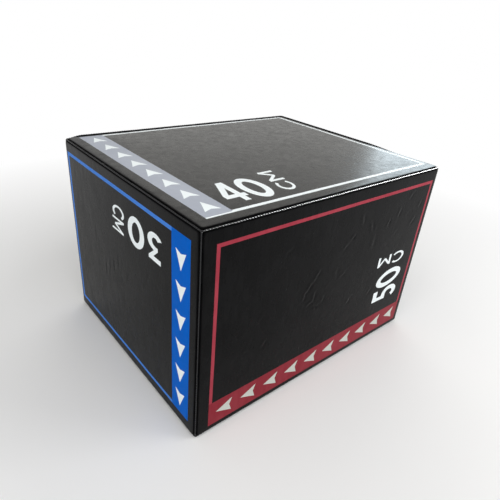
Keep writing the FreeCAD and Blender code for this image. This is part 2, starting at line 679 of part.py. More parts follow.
# Vinyl tabs sewn over the two lower ends of the zip
def end_tab(name, side):
    body = new_body(name)
    sketch = new_sketch(body, f"{name}_outline", "XZ_Plane")
    draw_rounded_rectangle(sketch, "Sizes.tab_wide", "Sizes.tab_high", "Sizes.tab_corner")
    pad(body, sketch, "Sizes.vinyl", reverse=True)
    place(body, (f"{side} * {ZIP_HALF}", "Sizes.width / 2", f"{TAB_TOP} - Sizes.tab_high / 2"))
    return body


end_tabs = doc.addObject("Part::Compound", "zip_end_tabs")
end_tabs.Label = "zip_end_tabs"
end_tabs.Links = [end_tab("end_tab_left", -1), end_tab("end_tab_right", 1)]
NODES.append(end_tabs)


# Foam: six slabs that make one block, chamfered along the box's edges and grooved behind the zip
def foam_block():
    body = new_body("foam_block")
    sketch = new_sketch(body, "foam_outline", "XY_Plane", ("0", "0", "Sizes.vinyl"))
    draw_rectangle(sketch, CORE_X, CORE_Y)
    solid = pad(body, sketch, CORE_Z)
    chamfer = body.newObject("PartDesign::Chamfer", "foam_relief")
    chamfer.Base = (solid, [f"Edge{count}" for count in range(1, len(solid.Shape.Edges) + 1)])
    chamfer.setExpression("Size", "Sizes.relief")
    doc.recompute()
    return body


core = foam_block()
groove_half = "(Sizes.tape_edge + Sizes.vinyl)"
groove_depth = f"(Sizes.vinyl + Sizes.tape / 2 + {PLATE_TOP} + Sizes.run_gap)"
zip_groove = u_strip(
    "zip_groove", f"-{groove_half}", groove_half, BELOW_BASE, "Sizes.width / 2", groove_depth
)
side_y = f"({CORE_Y} - Sizes.foam) / 2"
side_z = f"({CORE_Z} - Sizes.foam) / 2"
side_x = f"({CORE_X} - Sizes.foam) / 2"
SLABS = [
    ("foam_front", (CORE_X, "Sizes.foam", CORE_Z), ("0", f"-{side_y}", MIDDLE)),
    ("foam_back", (CORE_X, "Sizes.foam", CORE_Z), ("0", side_y, MIDDLE)),
    ("foam_top", (CORE_X, WOOD_Y, "Sizes.foam"), ("0", "0", f"{MIDDLE} + {side_z}")),
    ("foam_bottom", (CORE_X, WOOD_Y, "Sizes.foam"), ("0", "0", f"{MIDDLE} - {side_z}")),
    ("foam_left", ("Sizes.foam", WOOD_Y, WOOD_Z), (f"-{side_x}", "0", MIDDLE)),
    ("foam_right", ("Sizes.foam", WOOD_Y, WOOD_Z), (side_x, "0", MIDDLE)),
]
for slab_name, slab_sizes, slab_middle in SLABS:
    slab_box = block(f"{slab_name}_box", slab_sizes, slab_middle)
    if slab_name == "foam_back":
        whole_slab = boolean("Common", "foam_back_whole", core, slab_box)
        NODES.append(boolean("Cut", slab_name, whole_slab, zip_groove))
    else:
        NODES.append(boolean("Common", slab_name, core, slab_box))


# Plywood box: six boards finger-jointed along their edges, with a divider let into grooves
def finger_boxes(run, parity):
    """The fingers of one parity along the four edges of the wooden box that run in one direction."""
    sizes = [number(WOOD_X), number(WOOD_Y), number(WOOD_Z)]
    middle = [0, 0, number(MIDDLE)]
    board = number("Sizes.plywood")
    span = sizes[run] - 2 * board
    count = 2 * round((span / number("Sizes.finger") - 1) / 2) + 1
    others = [axis for axis in range(3) if axis != run]
    boxes = []
    for first in (-1, 1):
        for second in (-1, 1):
            for index in range(parity, count, 2):
                corner = [0, 0, 0]
                lengths = [board, board, board]
                lengths[run] = span / count
                corner[run] = middle[run] - span / 2 + index * span / count
                for axis, side in zip(others, (first, second)):
                    corner[axis] = middle[axis] + side * (sizes[axis] - board) / 2 - board / 2
                boxes.append(Part.makeBox(*lengths, vector(*corner)))
    return boxes


def corner_boxes():
    """The eight corner cubes, which stay with the top and bottom boards."""
    board = number("Sizes.plywood")
    reach = [(number(size) - board) / 2 for size in (WOOD_X, WOOD_Y, WOOD_Z)]
    boxes = []
    for x in (-1, 1):
        for y in (-1, 1):
            for z in (-1, 1):
                middle = vector(x * reach[0], y * reach[1], number(MIDDLE) + z * reach[2])
                half = vector(board / 2, board / 2, board / 2)
                boxes.append(Part.makeBox(board, board, board, middle - half))
    return boxes


def joint_space(name, boxes):
    feature = doc.addObject("Part::Feature", name)
    feature.Label = name
    feature.Shape = Part.makeCompound(boxes)
    return feature


EVEN = 0
ODD = 1
X_RUN = 0
Y_RUN = 1
Z_RUN = 2
flat_joints = joint_space("flat_joints", finger_boxes(X_RUN, ODD) + finger_boxes(Y_RUN, ODD))
side_joints = joint_space(
    "side_joints", finger_boxes(X_RUN, EVEN) + finger_boxes(Z_RUN, ODD) + corner_boxes()
)
end_joints = joint_space(
    "end_joints", finger_boxes(Y_RUN, EVEN) + finger_boxes(Z_RUN, EVEN) + corner_boxes()
)
BETWEEN_Z = f"({WOOD_Z} - 2 * Sizes.plywood)"
DIVIDER_LONG = f"({WOOD_Y} - 2 * Sizes.plywood + 2 * Sizes.dado)"
board_y = f"({WOOD_Y} - Sizes.plywood) / 2"
board_z = f"({WOOD_Z} - Sizes.plywood) / 2"
board_x = f"({WOOD_X} - Sizes.plywood) / 2"
groove_sizes = (
    "Sizes.plywood + 2 * Sizes.board_gap",
    f"{DIVIDER_LONG} + 2 * Sizes.board_gap",
    BETWEEN_Z,
)
divider_groove = block("divider_groove", groove_sizes, ("0", "0", MIDDLE))
BOARDS = [
    ("ply_top", (WOOD_X, WOOD_Y, "Sizes.plywood"), ("0", "0", f"{MIDDLE} + {board_z}"), flat_joints),
    ("ply_bottom", (WOOD_X, WOOD_Y, "Sizes.plywood"), ("0", "0", f"{MIDDLE} - {board_z}"), flat_joints),
    ("ply_front", (WOOD_X, "Sizes.plywood", WOOD_Z), ("0", f"-{board_y}", MIDDLE), side_joints),
    ("ply_back", (WOOD_X, "Sizes.plywood", WOOD_Z), ("0", board_y, MIDDLE), side_joints),
    ("ply_left", ("Sizes.plywood", WOOD_Y, WOOD_Z), (f"-{board_x}", "0", MIDDLE), end_joints),
    ("ply_right", ("Sizes.plywood", WOOD_Y, WOOD_Z), (board_x, "0", MIDDLE), end_joints),
]
for board_name, board_sizes, board_middle, joints in BOARDS:
    board = block(f"{board_name}_board", board_sizes, board_middle)
    if joints is side_joints:
        board = boolean("Cut", f"{board_name}_grooved", board, divider_groove)
    NODES.append(boolean("Cut", board_name, board, joints))
NODES.append(block("ply_divider", ("Sizes.plywood", DIVIDER_LONG, BETWEEN_Z), ("0", "0", MIDDLE)))

# Test every object, then write each piece
doc.recompute()
for thing in doc.Objects:
    if {"Invalid", "Error"} & set(thing.State):
        raise ValueError(f"{thing.Name} is {thing.State}")
os.makedirs("parts", exist_ok=True)
for node in NODES:
    if node.Shape.isNull() or not node.Shape.isValid():
        raise ValueError(f"{node.Label} has no valid shape")
for node in NODES:
    node.Shape.exportStep(f"parts/{node.Label}.step")
    print(f"{node.Label}: {len(node.Shape.Solids)} solid, {node.Shape.Volume / 1000:.2f} cm3")
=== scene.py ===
"""The looks of a soft three-height plyo box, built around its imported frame.

Shapes are worked out in millimetres, and become metres where a mesh is made.
"""

import json
import math
import random

import bmesh
import bpy
from mathutils import Matrix, Vector, noise
from mathutils.geometry import delaunay_2d_cdt

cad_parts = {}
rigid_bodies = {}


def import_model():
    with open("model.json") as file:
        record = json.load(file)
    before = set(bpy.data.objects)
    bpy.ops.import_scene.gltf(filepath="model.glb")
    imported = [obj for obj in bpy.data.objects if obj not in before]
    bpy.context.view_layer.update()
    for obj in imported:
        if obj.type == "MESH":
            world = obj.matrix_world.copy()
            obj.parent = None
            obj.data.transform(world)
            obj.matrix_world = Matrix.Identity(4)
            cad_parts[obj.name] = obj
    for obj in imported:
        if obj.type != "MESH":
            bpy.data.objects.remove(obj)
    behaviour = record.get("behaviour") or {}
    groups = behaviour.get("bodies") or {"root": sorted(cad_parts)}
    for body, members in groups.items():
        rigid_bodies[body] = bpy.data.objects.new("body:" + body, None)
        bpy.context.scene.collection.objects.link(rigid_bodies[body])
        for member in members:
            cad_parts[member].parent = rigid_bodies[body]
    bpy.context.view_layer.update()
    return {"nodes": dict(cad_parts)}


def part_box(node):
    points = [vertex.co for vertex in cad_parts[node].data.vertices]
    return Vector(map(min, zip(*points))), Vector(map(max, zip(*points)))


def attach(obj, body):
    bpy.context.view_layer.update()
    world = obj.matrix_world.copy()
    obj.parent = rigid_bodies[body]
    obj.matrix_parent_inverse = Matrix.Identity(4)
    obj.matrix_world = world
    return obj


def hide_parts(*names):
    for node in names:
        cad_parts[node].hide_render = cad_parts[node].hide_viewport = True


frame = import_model()
scene = bpy.context.scene
scene.view_settings.view_transform = "Standard"
noise.seed_set(1)  # noise vectors start from the clock otherwise

MM = 0.001
X, Y, Z = Vector((1, 0, 0)), Vector((0, 1, 0)), Vector((0, 0, 1))

# The box, as the frame has it
HALF_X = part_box("right_panel")[1].x / MM
HALF_Y = -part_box("front_panel")[0].y / MM
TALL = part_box("top_panel")[1].z / MM
MIDDLE = TALL / 2

# Cover
SKIN = 1.2  # thickness of the vinyl
ROLL, TURN = 1.3, math.radians(135)  # radius and sweep of a panel's turned edge
ALLOWANCE = 6.5  # how deep that edge reaches
GROOVE = 3.7  # from the box's edge to where a turned edge stands out furthest
SEAM = GROOVE + ROLL  # from the box's edge to the flat part of a panel
CORNER = 3.5  # rounding of a panel's corners, on its flat part
STITCH = 4.2  # pitch of the seams' stitches
PUCKER, PUCKER_RUN = 0.5, 30  # how far each stitch draws a turned edge in, and the run of its changes
TURN_IN = 2 * (ROLL * TURN + ALLOWANCE - 2 * ROLL)  # what both turned edges add to a panel's cut
BORDER_CUT = 30.0  # width of the strip that the border round the zip is cut from

# How a panel's surface lies
DROOP = 3.0  # how far from its edge it starts to droop
SWELL_RUN = 60  # length over which it swells
WAVE_HIGH, WAVE_LONG = 0.28, 85
RIPPLE_HIGH, RIPPLE_LONG = 0.10, 28
SLACK, SLACK_SPREAD, SLACK_LONG = 0.2, 0.1, 50

# Points of the panels' meshes
FINE = STITCH / 4  # spacing along an edge
EDGE_STEPS = 6  # points round a turned or folded edge
HEM_STEP = 0.5  # spacing behind a folded edge
GRID, ROW_SHARE = 6.0, 0.9  # spacing across a panel, and that of its rows as a share of it
MARK_STEP = GRID * 0.8  # spacing along a printed mark
INSETS = ((1.6, 1), (4.2, 2), (8.0, 4))  # rows inside the edge: how far, and every which point
SLIP = 0.1  # how much nearer to the edge a point of those rows may lie
CLEAR = 3.0  # room kept round rows of points and seams
ON_LINE = 0.5  # a place this close to a line or its end counts as on it
SAME_POINT = 1e-5

# Piping
CORD, CORD_STEPS = 0.95, 10  # radius of its cord, and the points round it
INSET = 2.5  # the cord's middle, from the two faces that meet at its seam
PINCH = 0.6  # how far each stitch draws it in
WANDER, WANDER_LONG = 0.16, 23  # how far it strays from its line, and over what length
TAIL, LONG_TAIL = 6.2, 8.5  # its flange, from the cord's middle; the long one is the top loop's
TAIL_THICK = 0.9
RISE = 3.0  # how far the top loop stands out at the back, square to each face
RISE_RUN = 30.0  # length over which it comes up at the left
LOW_FROM, LOW_TO = -150.0, -30.0  # where it starts to come up along the right side, and where it is up
AT_EDGE = 0.98  # a place past this share of a half width is on the loop's side there
LOOP_STEP = STITCH / 6  # spacing of points along its loops
UPRIGHT_STEPS = 440  # points along an upright

# Foam
EASE, SHARP = 15.0, 1.2  # how far its edges are cut back, and from which angle, in radians
ZIP_ROOM = 4.4  # how much the back's slab is lowered under the zip
PAD_EDGE, PAD_SLOPE, PAD_HIGH = 56, 4, 3.6  # its raised pad inside the zip: inset, slope and height

# Zip, on the back
ZIP_X = 208.0  # its middle line, from the middle of the back
ZIP_TOP = TALL - 32  # height of that line across the top
ZIP_BEND = 30.0  # radius of its two corners
ZIP_END = 7.5  # height of its lower ends
ZIP_STEP = 2.0  # spacing of points along it
SLOT = 8.0  # half the width of the slot
TAPE_NEAR, TAPE_FAR = 4.4, 22.0  # the tape's edges, from the middle line
TAPE_THICK, TAPE_DEPTH = 1.0, 1.7  # its thickness, and its middle below the back's face
TAPE_CORD = ((2.4, 0), (1.9, 0.25), (0.5, 0.25))  # its corded edge: from the near edge, and how high
TAB_WIDE, TAB_HIGH, TAB_CORNER, TAB_LEAST_CORNER = 36.0, 18.0, 4.0, 0.5
TAB_SECTION = ((0.5, 0.0), (0.0, 0.45), (0.25, 0.95), (0.9, 1.2), (3.0, 1.05), (5.0, 1.25))  # inset, rise
TAB_POINTS = 72  # points round a tab
THREAD_LONG, THREAD_THICK, THREAD_AROUND = 2.9, 0.36, 6
# A stitch's sections: place along it, size and lift
THREAD_SECTIONS = ((-0.5, 0.35, -0.25), (-0.28, 1.0, 0.05), (0.28, 1.0, 0.05), (0.5, 0.35, -0.25))
ZIP_STITCH = 3.6  # pitch of the stitches beside the slot and round the tabs
SLOT_ROW = 3.2  # from the slot's edge to its row of stitches
TAB_ROW, TAB_ROW_RISE = 3, 1.15  # the tabs' row of stitches: from the edge, and how high


class Face:
    """A side of the box: its middle, and its right and up as seen from outside."""

    def __init__(self, middle, right, up, half_wide, half_high):
        self.middle, self.right, self.up = Vector(middle), right, up
        self.out = right.cross(up)
        self.half_wide, self.half_high = half_wide, half_high

    def at(self, u, v, rise=0.0):
        return self.middle + u * self.right + v * self.up + rise * self.out


FACES = {
    "top": Face((0, 0, TALL), X, Y, HALF_X, HALF_Y),
    "bottom": Face((0, 0, 0), -X, Y, HALF_X, HALF_Y),
    "front": Face((0, -HALF_Y, MIDDLE), X, Z, HALF_X, MIDDLE),
    "back": Face((0, HALF_Y, MIDDLE), -X, Z, HALF_X, MIDDLE),
    "left": Face((-HALF_X, 0, MIDDLE), -Y, Z, HALF_Y, MIDDLE),
    "right": Face((HALF_X, 0, MIDDLE), Y, Z, HALF_Y, MIDDLE),
}


# Materials

def srgb(red, green, blue):
    """A colour written as a screen shows it, from 0 to 255, as a shader takes it."""
    def linear(part):
        part /= 255
        return part / 12.92 if part <= 0.04045 else ((part + 0.055) / 1.055) ** 2.4
    return (linear(red), linear(green), linear(blue), 1.0)


def tint(colour, factor, lift=0.0):
    """A colour made paler or darker."""
    return tuple(min(1, part * factor + lift) for part in colour[:3]) + (1,)


class Nodes:
    """A tree of shader nodes, which are added one by one."""

    def __init__(self, tree):
        self.tree = tree

    def add(self, kind, inputs=None, **settings):
        node = self.tree.nodes.new("ShaderNode" + kind)
        for key, value in settings.items():
            setattr(node, key, value)
        self.fill(node, inputs or {})
        return node

    def fill(self, node, inputs):
        """Links a node's inputs to other nodes' outputs, or sets them."""
        for key, value in inputs.items():
            if isinstance(value, bpy.types.NodeSocket):
                self.tree.links.new(value, node.inputs[key])
            else:
                node.inputs[key].default_value = value

    def span(self, value, low, high, start=0.3, end=0.7):
        """A value between start and end, as a number between low and high."""
        inputs = {"Value": value, "From Min": start, "From Max": end, "To Min": low, "To Max": high}
        return self.add("MapRange", inputs).outputs[0]

    def mix(self, share, first, second):
        """A mix of two colours."""
        return self.add("Mix", {0: share, 6: first, 7: second}, data_type="RGBA").outputs[2]

    def combine(self, first, second, how="ADD"):
        return self.add("Math", {0: first, 1: second}, operation=how).outputs[0]


class Look(Nodes):
    """A material, whose nodes stand in front of its shader."""

    def __init__(self, name):
        self.material = bpy.data.materials.new(name)
        self.material.use_nodes = True
        super().__init__(self.material.node_tree)
        self.shader = self.tree.nodes["Principled BSDF"]
        self.coordinates = self.add("TexCoord").outputs
        self.place = self.coordinates["Object"]

    def shade(self, **inputs):
        self.fill(self.shader, {key.replace("_", " "): value for key, value in inputs.items()})
        return self.material

    def cloud(self, size, detail=4.0, stretch=(1, 1, 1)):
        """Soft noise whose patches are about size millimetres across."""
        place = self.add("Mapping", {"Vector": self.place, "Scale": stretch}).outputs[0]
        inputs = {"Vector": place, "Scale": 1 / (size * MM), "Detail": detail}
        return self.add("TexNoise", inputs).outputs[0]

    def cells(self, size, feature):
        """Distances from the middles of cells about size millimetres across."""
        inputs = {"Vector": self.place, "Scale": 1 / (size * MM)}
        return self.add("TexVoronoi", inputs, feature=feature).outputs["Distance"]

    def ribs(self, pitch, way, distortion):
        """Waves a pitch apart."""
        inputs = {"Vector": self.place, "Scale": math.pi / 10 / (pitch * MM), "Distortion": distortion}
        return self.add("TexWave", inputs, bands_direction=way).outputs["Fac"]

    def bump(self, height, depth, strength, under=None):
        """A bump whose full height is depth millimetres."""
        inputs = {"Height": height, "Distance": depth * MM, "Strength": strength}
        if under is not None:
            inputs["Normal"] = under
        return self.add("Bump", inputs).outputs[0]


GRAIN = 1.3  # size of a pebble of the vinyl's grain
BUBBLE = 1.6  # size of the foam's cells
WEAVE = 0.7  # pitch of the tapes' ribs
TWIST = 0.5  # pitch of the thread's strands
PLY = 1.5  # thickness of one veneer


def coated(name, colour, rough, lift, gloss):
    """Vinyl or ink on it: one embossed grain, soft cloudy wear, and a low gloss."""
    look = Look(name)
    wear = look.cloud(70)
    rub = look.cloud(9, detail=6, stretch=(1, 1, 0.35))
    worn = look.span(look.combine(wear, rub, "MULTIPLY"), 0, 1, 0.18, 0.36)
    pebbles = look.combine(look.cells(GRAIN, "SMOOTH_F1"), look.cloud(0.5, detail=2))
    grain = look.bump(pebbles, depth=0.05, strength=0.35)
    return look.shade(
        Base_Color=look.mix(worn, colour, tint(colour, *lift)),
        Roughness=look.span(rub, rough - 0.05, rough + 0.07),
        Normal=look.bump(look.cloud(16, detail=3), depth=0.35, strength=0.25, under=grain),
        Specular_IOR_Level=gloss,
    )


def woven(name, colour):
    """A woven tape: fine ribs both ways and a dull sheen."""
    look = Look(name)
    weave = look.combine(*(look.ribs(WEAVE, way, distortion=0.4) for way in ("X", "Z")))
    return look.shade(
        Base_Color=look.mix(look.span(weave, 0, 1, 0.5, 1.6), colour, tint(colour, 2.2)),
        Roughness=look.span(look.cloud(3), 0.7, 0.9),
        Normal=look.bump(weave, depth=0.15, strength=0.6),
        Sheen_Weight=0.15,
    )


def moulded(name, colour, rough):
    """Moulded plastic with a faint spark-eroded texture."""
    look = Look(name)
    return look.shade(
        Base_Color=look.mix(look.span(look.cloud(6), 0, 1), colour, tint(colour, 1.8)),
        Roughness=look.span(look.cloud(1.5), rough - 0.08, rough + 0.08),
        Normal=look.bump(look.cloud(0.3, detail=2), depth=0.02, strength=0.4),
    )


def lacquered(name, colour, bare):
    """Black lacquer on a die casting, rubbed through to bright metal on its edges."""
    look = Look(name)
    edges = look.add("NewGeometry").outputs["Pointiness"]
    chips = look.combine(edges, look.combine(look.cloud(1.2, detail=6), 0.06, "MULTIPLY"))
    worn = look.span(chips, 0, 1, 0.56, 0.60)
    return look.shade(
        Base_Color=look.mix(worn, colour, bare),
        Metallic=worn,
        Roughness=look.span(look.cloud(2), 0.28, 0.42),
        Normal=look.bump(look.cloud(0.8), depth=0.03, strength=0.3),
    )


def twisted(name, colour):
    """Sewing thread: slanting strands."""
    look = Look(name)
    strands = look.ribs(TWIST, "DIAGONAL", distortion=0.5)
    return look.shade(
        Base_Color=look.mix(strands, colour, tint(colour, 1.7)),
        Roughness=look.span(look.cloud(2), 0.5, 0.7),
        Normal=look.bump(strands, depth=0.08, strength=0.5),
        Sheen_Weight=0.1,
    )


def celled(name, colour):
    """Closed-cell foam: small bubbles cut open, and cloudy colour."""
    look = Look(name)
    cells = look.cells(BUBBLE, "F1")
    return look.shade(
        Base_Color=look.mix(look.span(look.cloud(40), 0, 1), colour, tint(colour, 0.86)),
        Roughness=look.span(cells, 0.8, 0.95, 0, 1),
        Normal=look.bump(cells, depth=0.4, strength=0.5),
    )


def plywood(name, thin, along):
    """Birch plywood whose boards are thin in one axis and have their face grain along another."""
    look = Look(name)
    stretch = [1, 1, 1]
    stretch[along] = 0.06
    figure = look.cloud(14, detail=8, stretch=stretch)
    face = look.mix(look.span(figure, 0, 1), srgb(214, 184, 140), srgb(186, 148, 102))
    height = look.add("SeparateXYZ", {"Vector": look.place}).outputs[thin]
    layer = look.combine(look.combine(height, 1 / (PLY * MM), "MULTIPLY"), 2, "PINGPONG")
    veneers = look.mix(look.span(layer, 0, 1, 0.8, 1.2), srgb(205, 172, 128), srgb(134, 98, 62))
    facing = look.add("SeparateXYZ", {"Vector": look.coordinates["Normal"]}).outputs[thin]
    on_face = look.combine(look.combine(facing, 0, "ABSOLUTE"), 0.5, "GREATER_THAN")
    return look.shade(
        Base_Color=look.mix(on_face, veneers, face),
        Roughness=look.span(figure, 0.55, 0.7),
        Normal=look.bump(figure, depth=0.12, strength=0.4),
    )


VINYL = coated("vinyl_black", srgb(9, 9, 10), 0.27, (1.4, 0.0012), 0.055)
# a paler, glossier copy of the piping's vinyl: a painted highlight along the top loop's front
HIGHLIT_PIPING = coated("piping_painted_highlight", srgb(24, 24, 26), 0.26, (1.3, 0.004), 0.75)
SATIN_PIPING = coated("piping_satin", srgb(20, 20, 22), 0.3, (1.3, 0.003), 0.3)
# a darker, matt copy of the piping's vinyl: painted shade where the top loop is raised
SHADED_PIPING = coated("piping_painted_shade", srgb(13, 13, 14), 0.45, (1.4, 0.0012), 0.012)
INK_ROUGH = 0.34
INKS = {
    "bare": VINYL,
    "blue": coated("ink_blue", srgb(0, 93, 192), INK_ROUGH, (1.08, 0.0), 0.015),
    "blue line": coated("ink_blue_line", srgb(70, 127, 212), INK_ROUGH, (1.08, 0.0), 0.015),
    "red": coated("ink_red", srgb(137, 39, 51), INK_ROUGH, (1.1, 0.008), 0.05),
    "red line": coated("ink_red_line", srgb(160, 55, 69), INK_ROUGH, (1.1, 0.008), 0.05),
    "grey": coated("ink_grey", srgb(162, 168, 181), INK_ROUGH, (1.05, 0.01), 0.06),
    "white": coated("ink_white", srgb(241, 248, 250), INK_ROUGH, (1.0, 0.0), 0.03),
    "silver": coated("ink_silver", srgb(203, 206, 199), INK_ROUGH, (1.05, 0.0), 0.03),
    "edge": coated("vinyl_edge", srgb(9, 9, 10), 0.45, (1.4, 0.0012), 0.012),
}
INK_ORDER = list(INKS)
TAPE = woven("tape_black", srgb(26, 26, 27))
TEETH = moulded("teeth_black", srgb(24, 24, 25), 0.38)
METAL = lacquered("lacquer_black", srgb(22, 22, 23), srgb(176, 174, 170))
THREAD = twisted("thread_black", srgb(30, 30, 31))
FOAM = celled("foam_white", srgb(224, 222, 214))


# Meshes

def make(name, points, faces, materials, kinds=None):
    """A smooth mesh object from points in millimetres, riding on the box."""
    mesh = bpy.data.meshes.new(name)
    mesh.from_pydata([Vector(p) * MM for p in points], [], faces)
    for material in materials:
        mesh.materials.append(material)
    if kinds:
        mesh.polygons.foreach_set("material_index", kinds)
    mesh.polygons.foreach_set("use_smooth", [True] * len(mesh.polygons))
    mesh.update()
    piece = bpy.data.objects.new(name, mesh)
    scene.collection.objects.link(piece)
    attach(piece, "box")
    return piece


def spaced(loop, step):
    """A closed loop of points with its long runs divided evenly."""
    found = []
    for here, after in zip(loop, loop[1:] + loop[:1]):
        count = max(1, round((after - here).length / step))
        found += [here.lerp(after, i / count) for i in range(count)]
    return found


def even(loop, count):
    """A closed loop as count points, evenly spread from its first."""
    closed = loop + loop[:1]
    runs = [(b - a).length for a, b in zip(closed, closed[1:])]
    total = sum(runs)
    found, k, done = [], 0, 0.0
    for i in range(count):
        goal = total * i / count
        while done + runs[k] < goal:
            done += runs[k]
            k += 1
        found.append(closed[k].lerp(closed[k + 1], (goal - done) / runs[k]))
    return found


def rectangle(left, right, low, high, inset=0.0):
    """A rectangle's corners, drawn in by inset on every side."""
    left, right, low, high = left + inset, right - inset, low + inset, high - inset
    return [Vector(p) for p in ((left, low), (right, low), (right, high), (left, high))]


def rounded(corners, radii, step):
    """A closed outline through corners, each rounded to its radius, with points about step apart."""
    found = []
    last = len(corners) - 1
    for i, (corner, radius) in enumerate(zip(corners, radii)):
        before = (corners[i - 1] - corner).normalized()
        after = (corners[0 if i == last else i + 1] - corner).normalized()
        half = before.angle(after) / 2
        if radius == 0:
            found.append(corner)
            continue
        middle = corner + (before + after).normalized() * (radius / math.sin(half))
        first = corner + before * (radius / math.tan(half)) - middle
        swing = first.angle_signed(corner + after * (radius / math.tan(half)) - middle)
        count = max(3, round(abs(swing) * radius / step))
        for k in range(count + 1):
            turn = Matrix.Rotation(-swing * k / count, 2)
            found.append(middle + turn @ first)
    return spaced(found, step)


def joined(before, after, flip=False):
    """Quads between two rings of points."""
    pairs = list(zip(before, after))
    for (a, b), (next_a, next_b) in zip(pairs, pairs[1:] + pairs[:1]):
        yield (a, next_a, next_b, b) if flip else (a, b, next_b, next_a)


def sides(path, closed, up):
    """The way out to the right of a path, at each of its points."""
    count = len(path)
    ways = []
    for i in range(count):
        before = path[i - 1] if closed or i else path[i]
        after = path[(i + 1) % count] if closed or i < count - 1 else path[i]
        ways.append((after - before).cross(up).normalized())
    return ways


def sweep(name, path, closed, side_of, up, section, material):
    """A tube or strip: section's (out, up) points carried along a path."""
    points, faces = [], []
    count, around = len(path), len(section)
    for i, place in enumerate(path):
        for out, rise in section:
            points.append(place + side_of(i) * out + up * rise)
    for i in range(count if closed else count - 1):
        here, after = i * around, (i + 1) % count * around
        faces += joined(range(here, here + around), range(after, after + around))
    if not closed:
        faces.append(tuple(range(around)))
        faces.append(tuple(reversed(range((count - 1) * around, count * around))))
    return make(name, points, faces, [material])


# Printed marks, as outlines in a unit box

def arc(middle, radii, start, end, steps=14):
    """Points of an elliptical arc, its angles in degrees."""
    angles = [math.radians(start + (end - start) * i / steps) for i in range(steps + 1)]
    return [(middle[0] + radii[0] * math.cos(a), middle[1] + radii[1] * math.sin(a)) for a in angles]


def ring(middle, outer, inner, start, end):
    """A thick arc."""
    return arc(middle, outer, start, end) + arc(middle, inner, end, start)


STEM, BAR = 0.26, 0.175  # a nought's stroke, as shares of its width and height
HALF = (0.5, 0.5)
GLYPHS = {
    "0": [
        (arc(HALF, HALF, 0, 350, 35), "white"),
        (arc(HALF, (0.5 - STEM, 0.5 - BAR), 0, 350, 35), "bare"),
    ],
    "3": [
        ([(0.07, 0.83), (0.58, 0.83), (0.26, 0.585), (0.26, 0.465), (0.46, 0.465), (0.52, 0.60),
          (0.93, 0.885), (0.93, 1.0), (0.07, 1.0)], "white"),
        (ring((0.45, 0.31), (0.54, 0.31), (0.21, 0.145), -150, 95), "white"),
    ],
    "4": [
        ([(0, 0.20), (0.57, 0.20), (0.57, 0), (0.83, 0), (0.83, 0.20), (1, 0.20), (1, 0.35),
          (0.83, 0.35), (0.83, 1), (0.52, 1), (0, 0.35)], "white"),
        ([(0.27, 0.35), (0.57, 0.35), (0.57, 0.70)], "bare"),
    ],
    "5": [
        ([(0.07, 0.465), (0.45, 0.465), (0.45, 0.63), (0.36, 0.63), (0.39, 0.83), (0.92, 0.83),
          (0.92, 1.0), (0.14, 1.0)], "white"),
        (ring((0.45, 0.315), (0.53, 0.315), (0.21, 0.15), -145, 98), "white"),
    ],
    "C": [(ring((0.55, 0.5), (0.55, 0.5), (0.37, 0.345), 42, 318), "white")],
    "M": [
        ([(0, 0), (0.15, 0), (0.15, 0.70), (0.44, 0.22), (0.56, 0.22), (0.85, 0.70), (0.85, 0), (1, 0),
          (1, 1), (0.85, 1), (0.5, 0.42), (0.15, 1), (0, 1)], "white"),
    ],
}
NOTCH = 0.85  # an arrowhead's notch, as a share of its length
SIDE_BEND = (0.55, 0.26)  # where its sides bend, as shares of its length and width
BACK_BEND = (0.91, 0.20)  # and where its back does
CURVE_STEPS = 4


def glyph(sign, start, along, up):
    """A sign's outlines, its box given by a corner and its two sides."""
    start, along, up = Vector(start), Vector(along), Vector(up)
    return [([start + along * x + up * y for x, y in outline], ink) for outline, ink in GLYPHS[sign]]


def arrowhead(tip, point, length, width):
    """A notched arrowhead with slightly hollow sides; point is the way it points."""
    tip, point = Vector(tip), Vector(point)
    side = Vector((-point.y, point.x))

    def spot(back, across):
        return tip - point * length * back + side * width * across

    def curve(start, bend, end):
        shares = [step / CURVE_STEPS for step in range(CURVE_STEPS)]
        return [start.lerp(bend, share).lerp(bend.lerp(end, share), share) for share in shares]

    left, right, notch = spot(1, 0.5), spot(1, -0.5), spot(NOTCH, 0)
    hollow_left, hollow_right = (spot(SIDE_BEND[0], way * SIDE_BEND[1]) for way in (1, -1))
    inner_left, inner_right = (spot(BACK_BEND[0], way * BACK_BEND[1]) for way in (1, -1))
    return (
        curve(tip, hollow_left, left) + curve(left, inner_left, notch)
        + curve(notch, inner_right, right) + curve(right, hollow_right, tip)
    )


def framed(left, right, low, high, line, ink):
    """A printed line round a rectangle."""
    return [
        (rectangle(left, right, low, high), ink),
        (rectangle(left, right, low, high, inset=line), "bare"),
    ]


def arrows(first_tip, point, pitch, count, length, width, ink="white"):
    """A row of arrowheads that follow the first one."""
    point = Vector(point)
    tips = [Vector(first_tip) - point * pitch * i for i in range(count)]
    return [(arrowhead(tip, point, length, width), ink) for tip in tips]


def blue_print():
    """The shortest height: arrowheads down the near side, and the number turned over."""
    left, right, low, high = -185.5, 177, -139.7, 140.4
    band_left = 136.8
    marks = framed(left, right, low, high, line=5.6, ink="blue line")
    marks.append((rectangle(band_left, right, low, high), "blue"))
    marks += arrows((157, -126.7), (0, -1), pitch=43.6, count=6, length=27, width=22.6)
    marks += glyph("3", (113.5, 115), along=(-35.5, 0), up=(0, -41))
    marks += glyph("0", (69, 115.6), along=(-45.7, 0), up=(0, -44.8))
    marks += glyph("C", (-22.5, 112.3), along=(-1.5, -18), up=(36, 0))
    marks += glyph("M", (-24.5, 92.3), along=(-2.5, -20.5), up=(35.5, 0))
    return marks


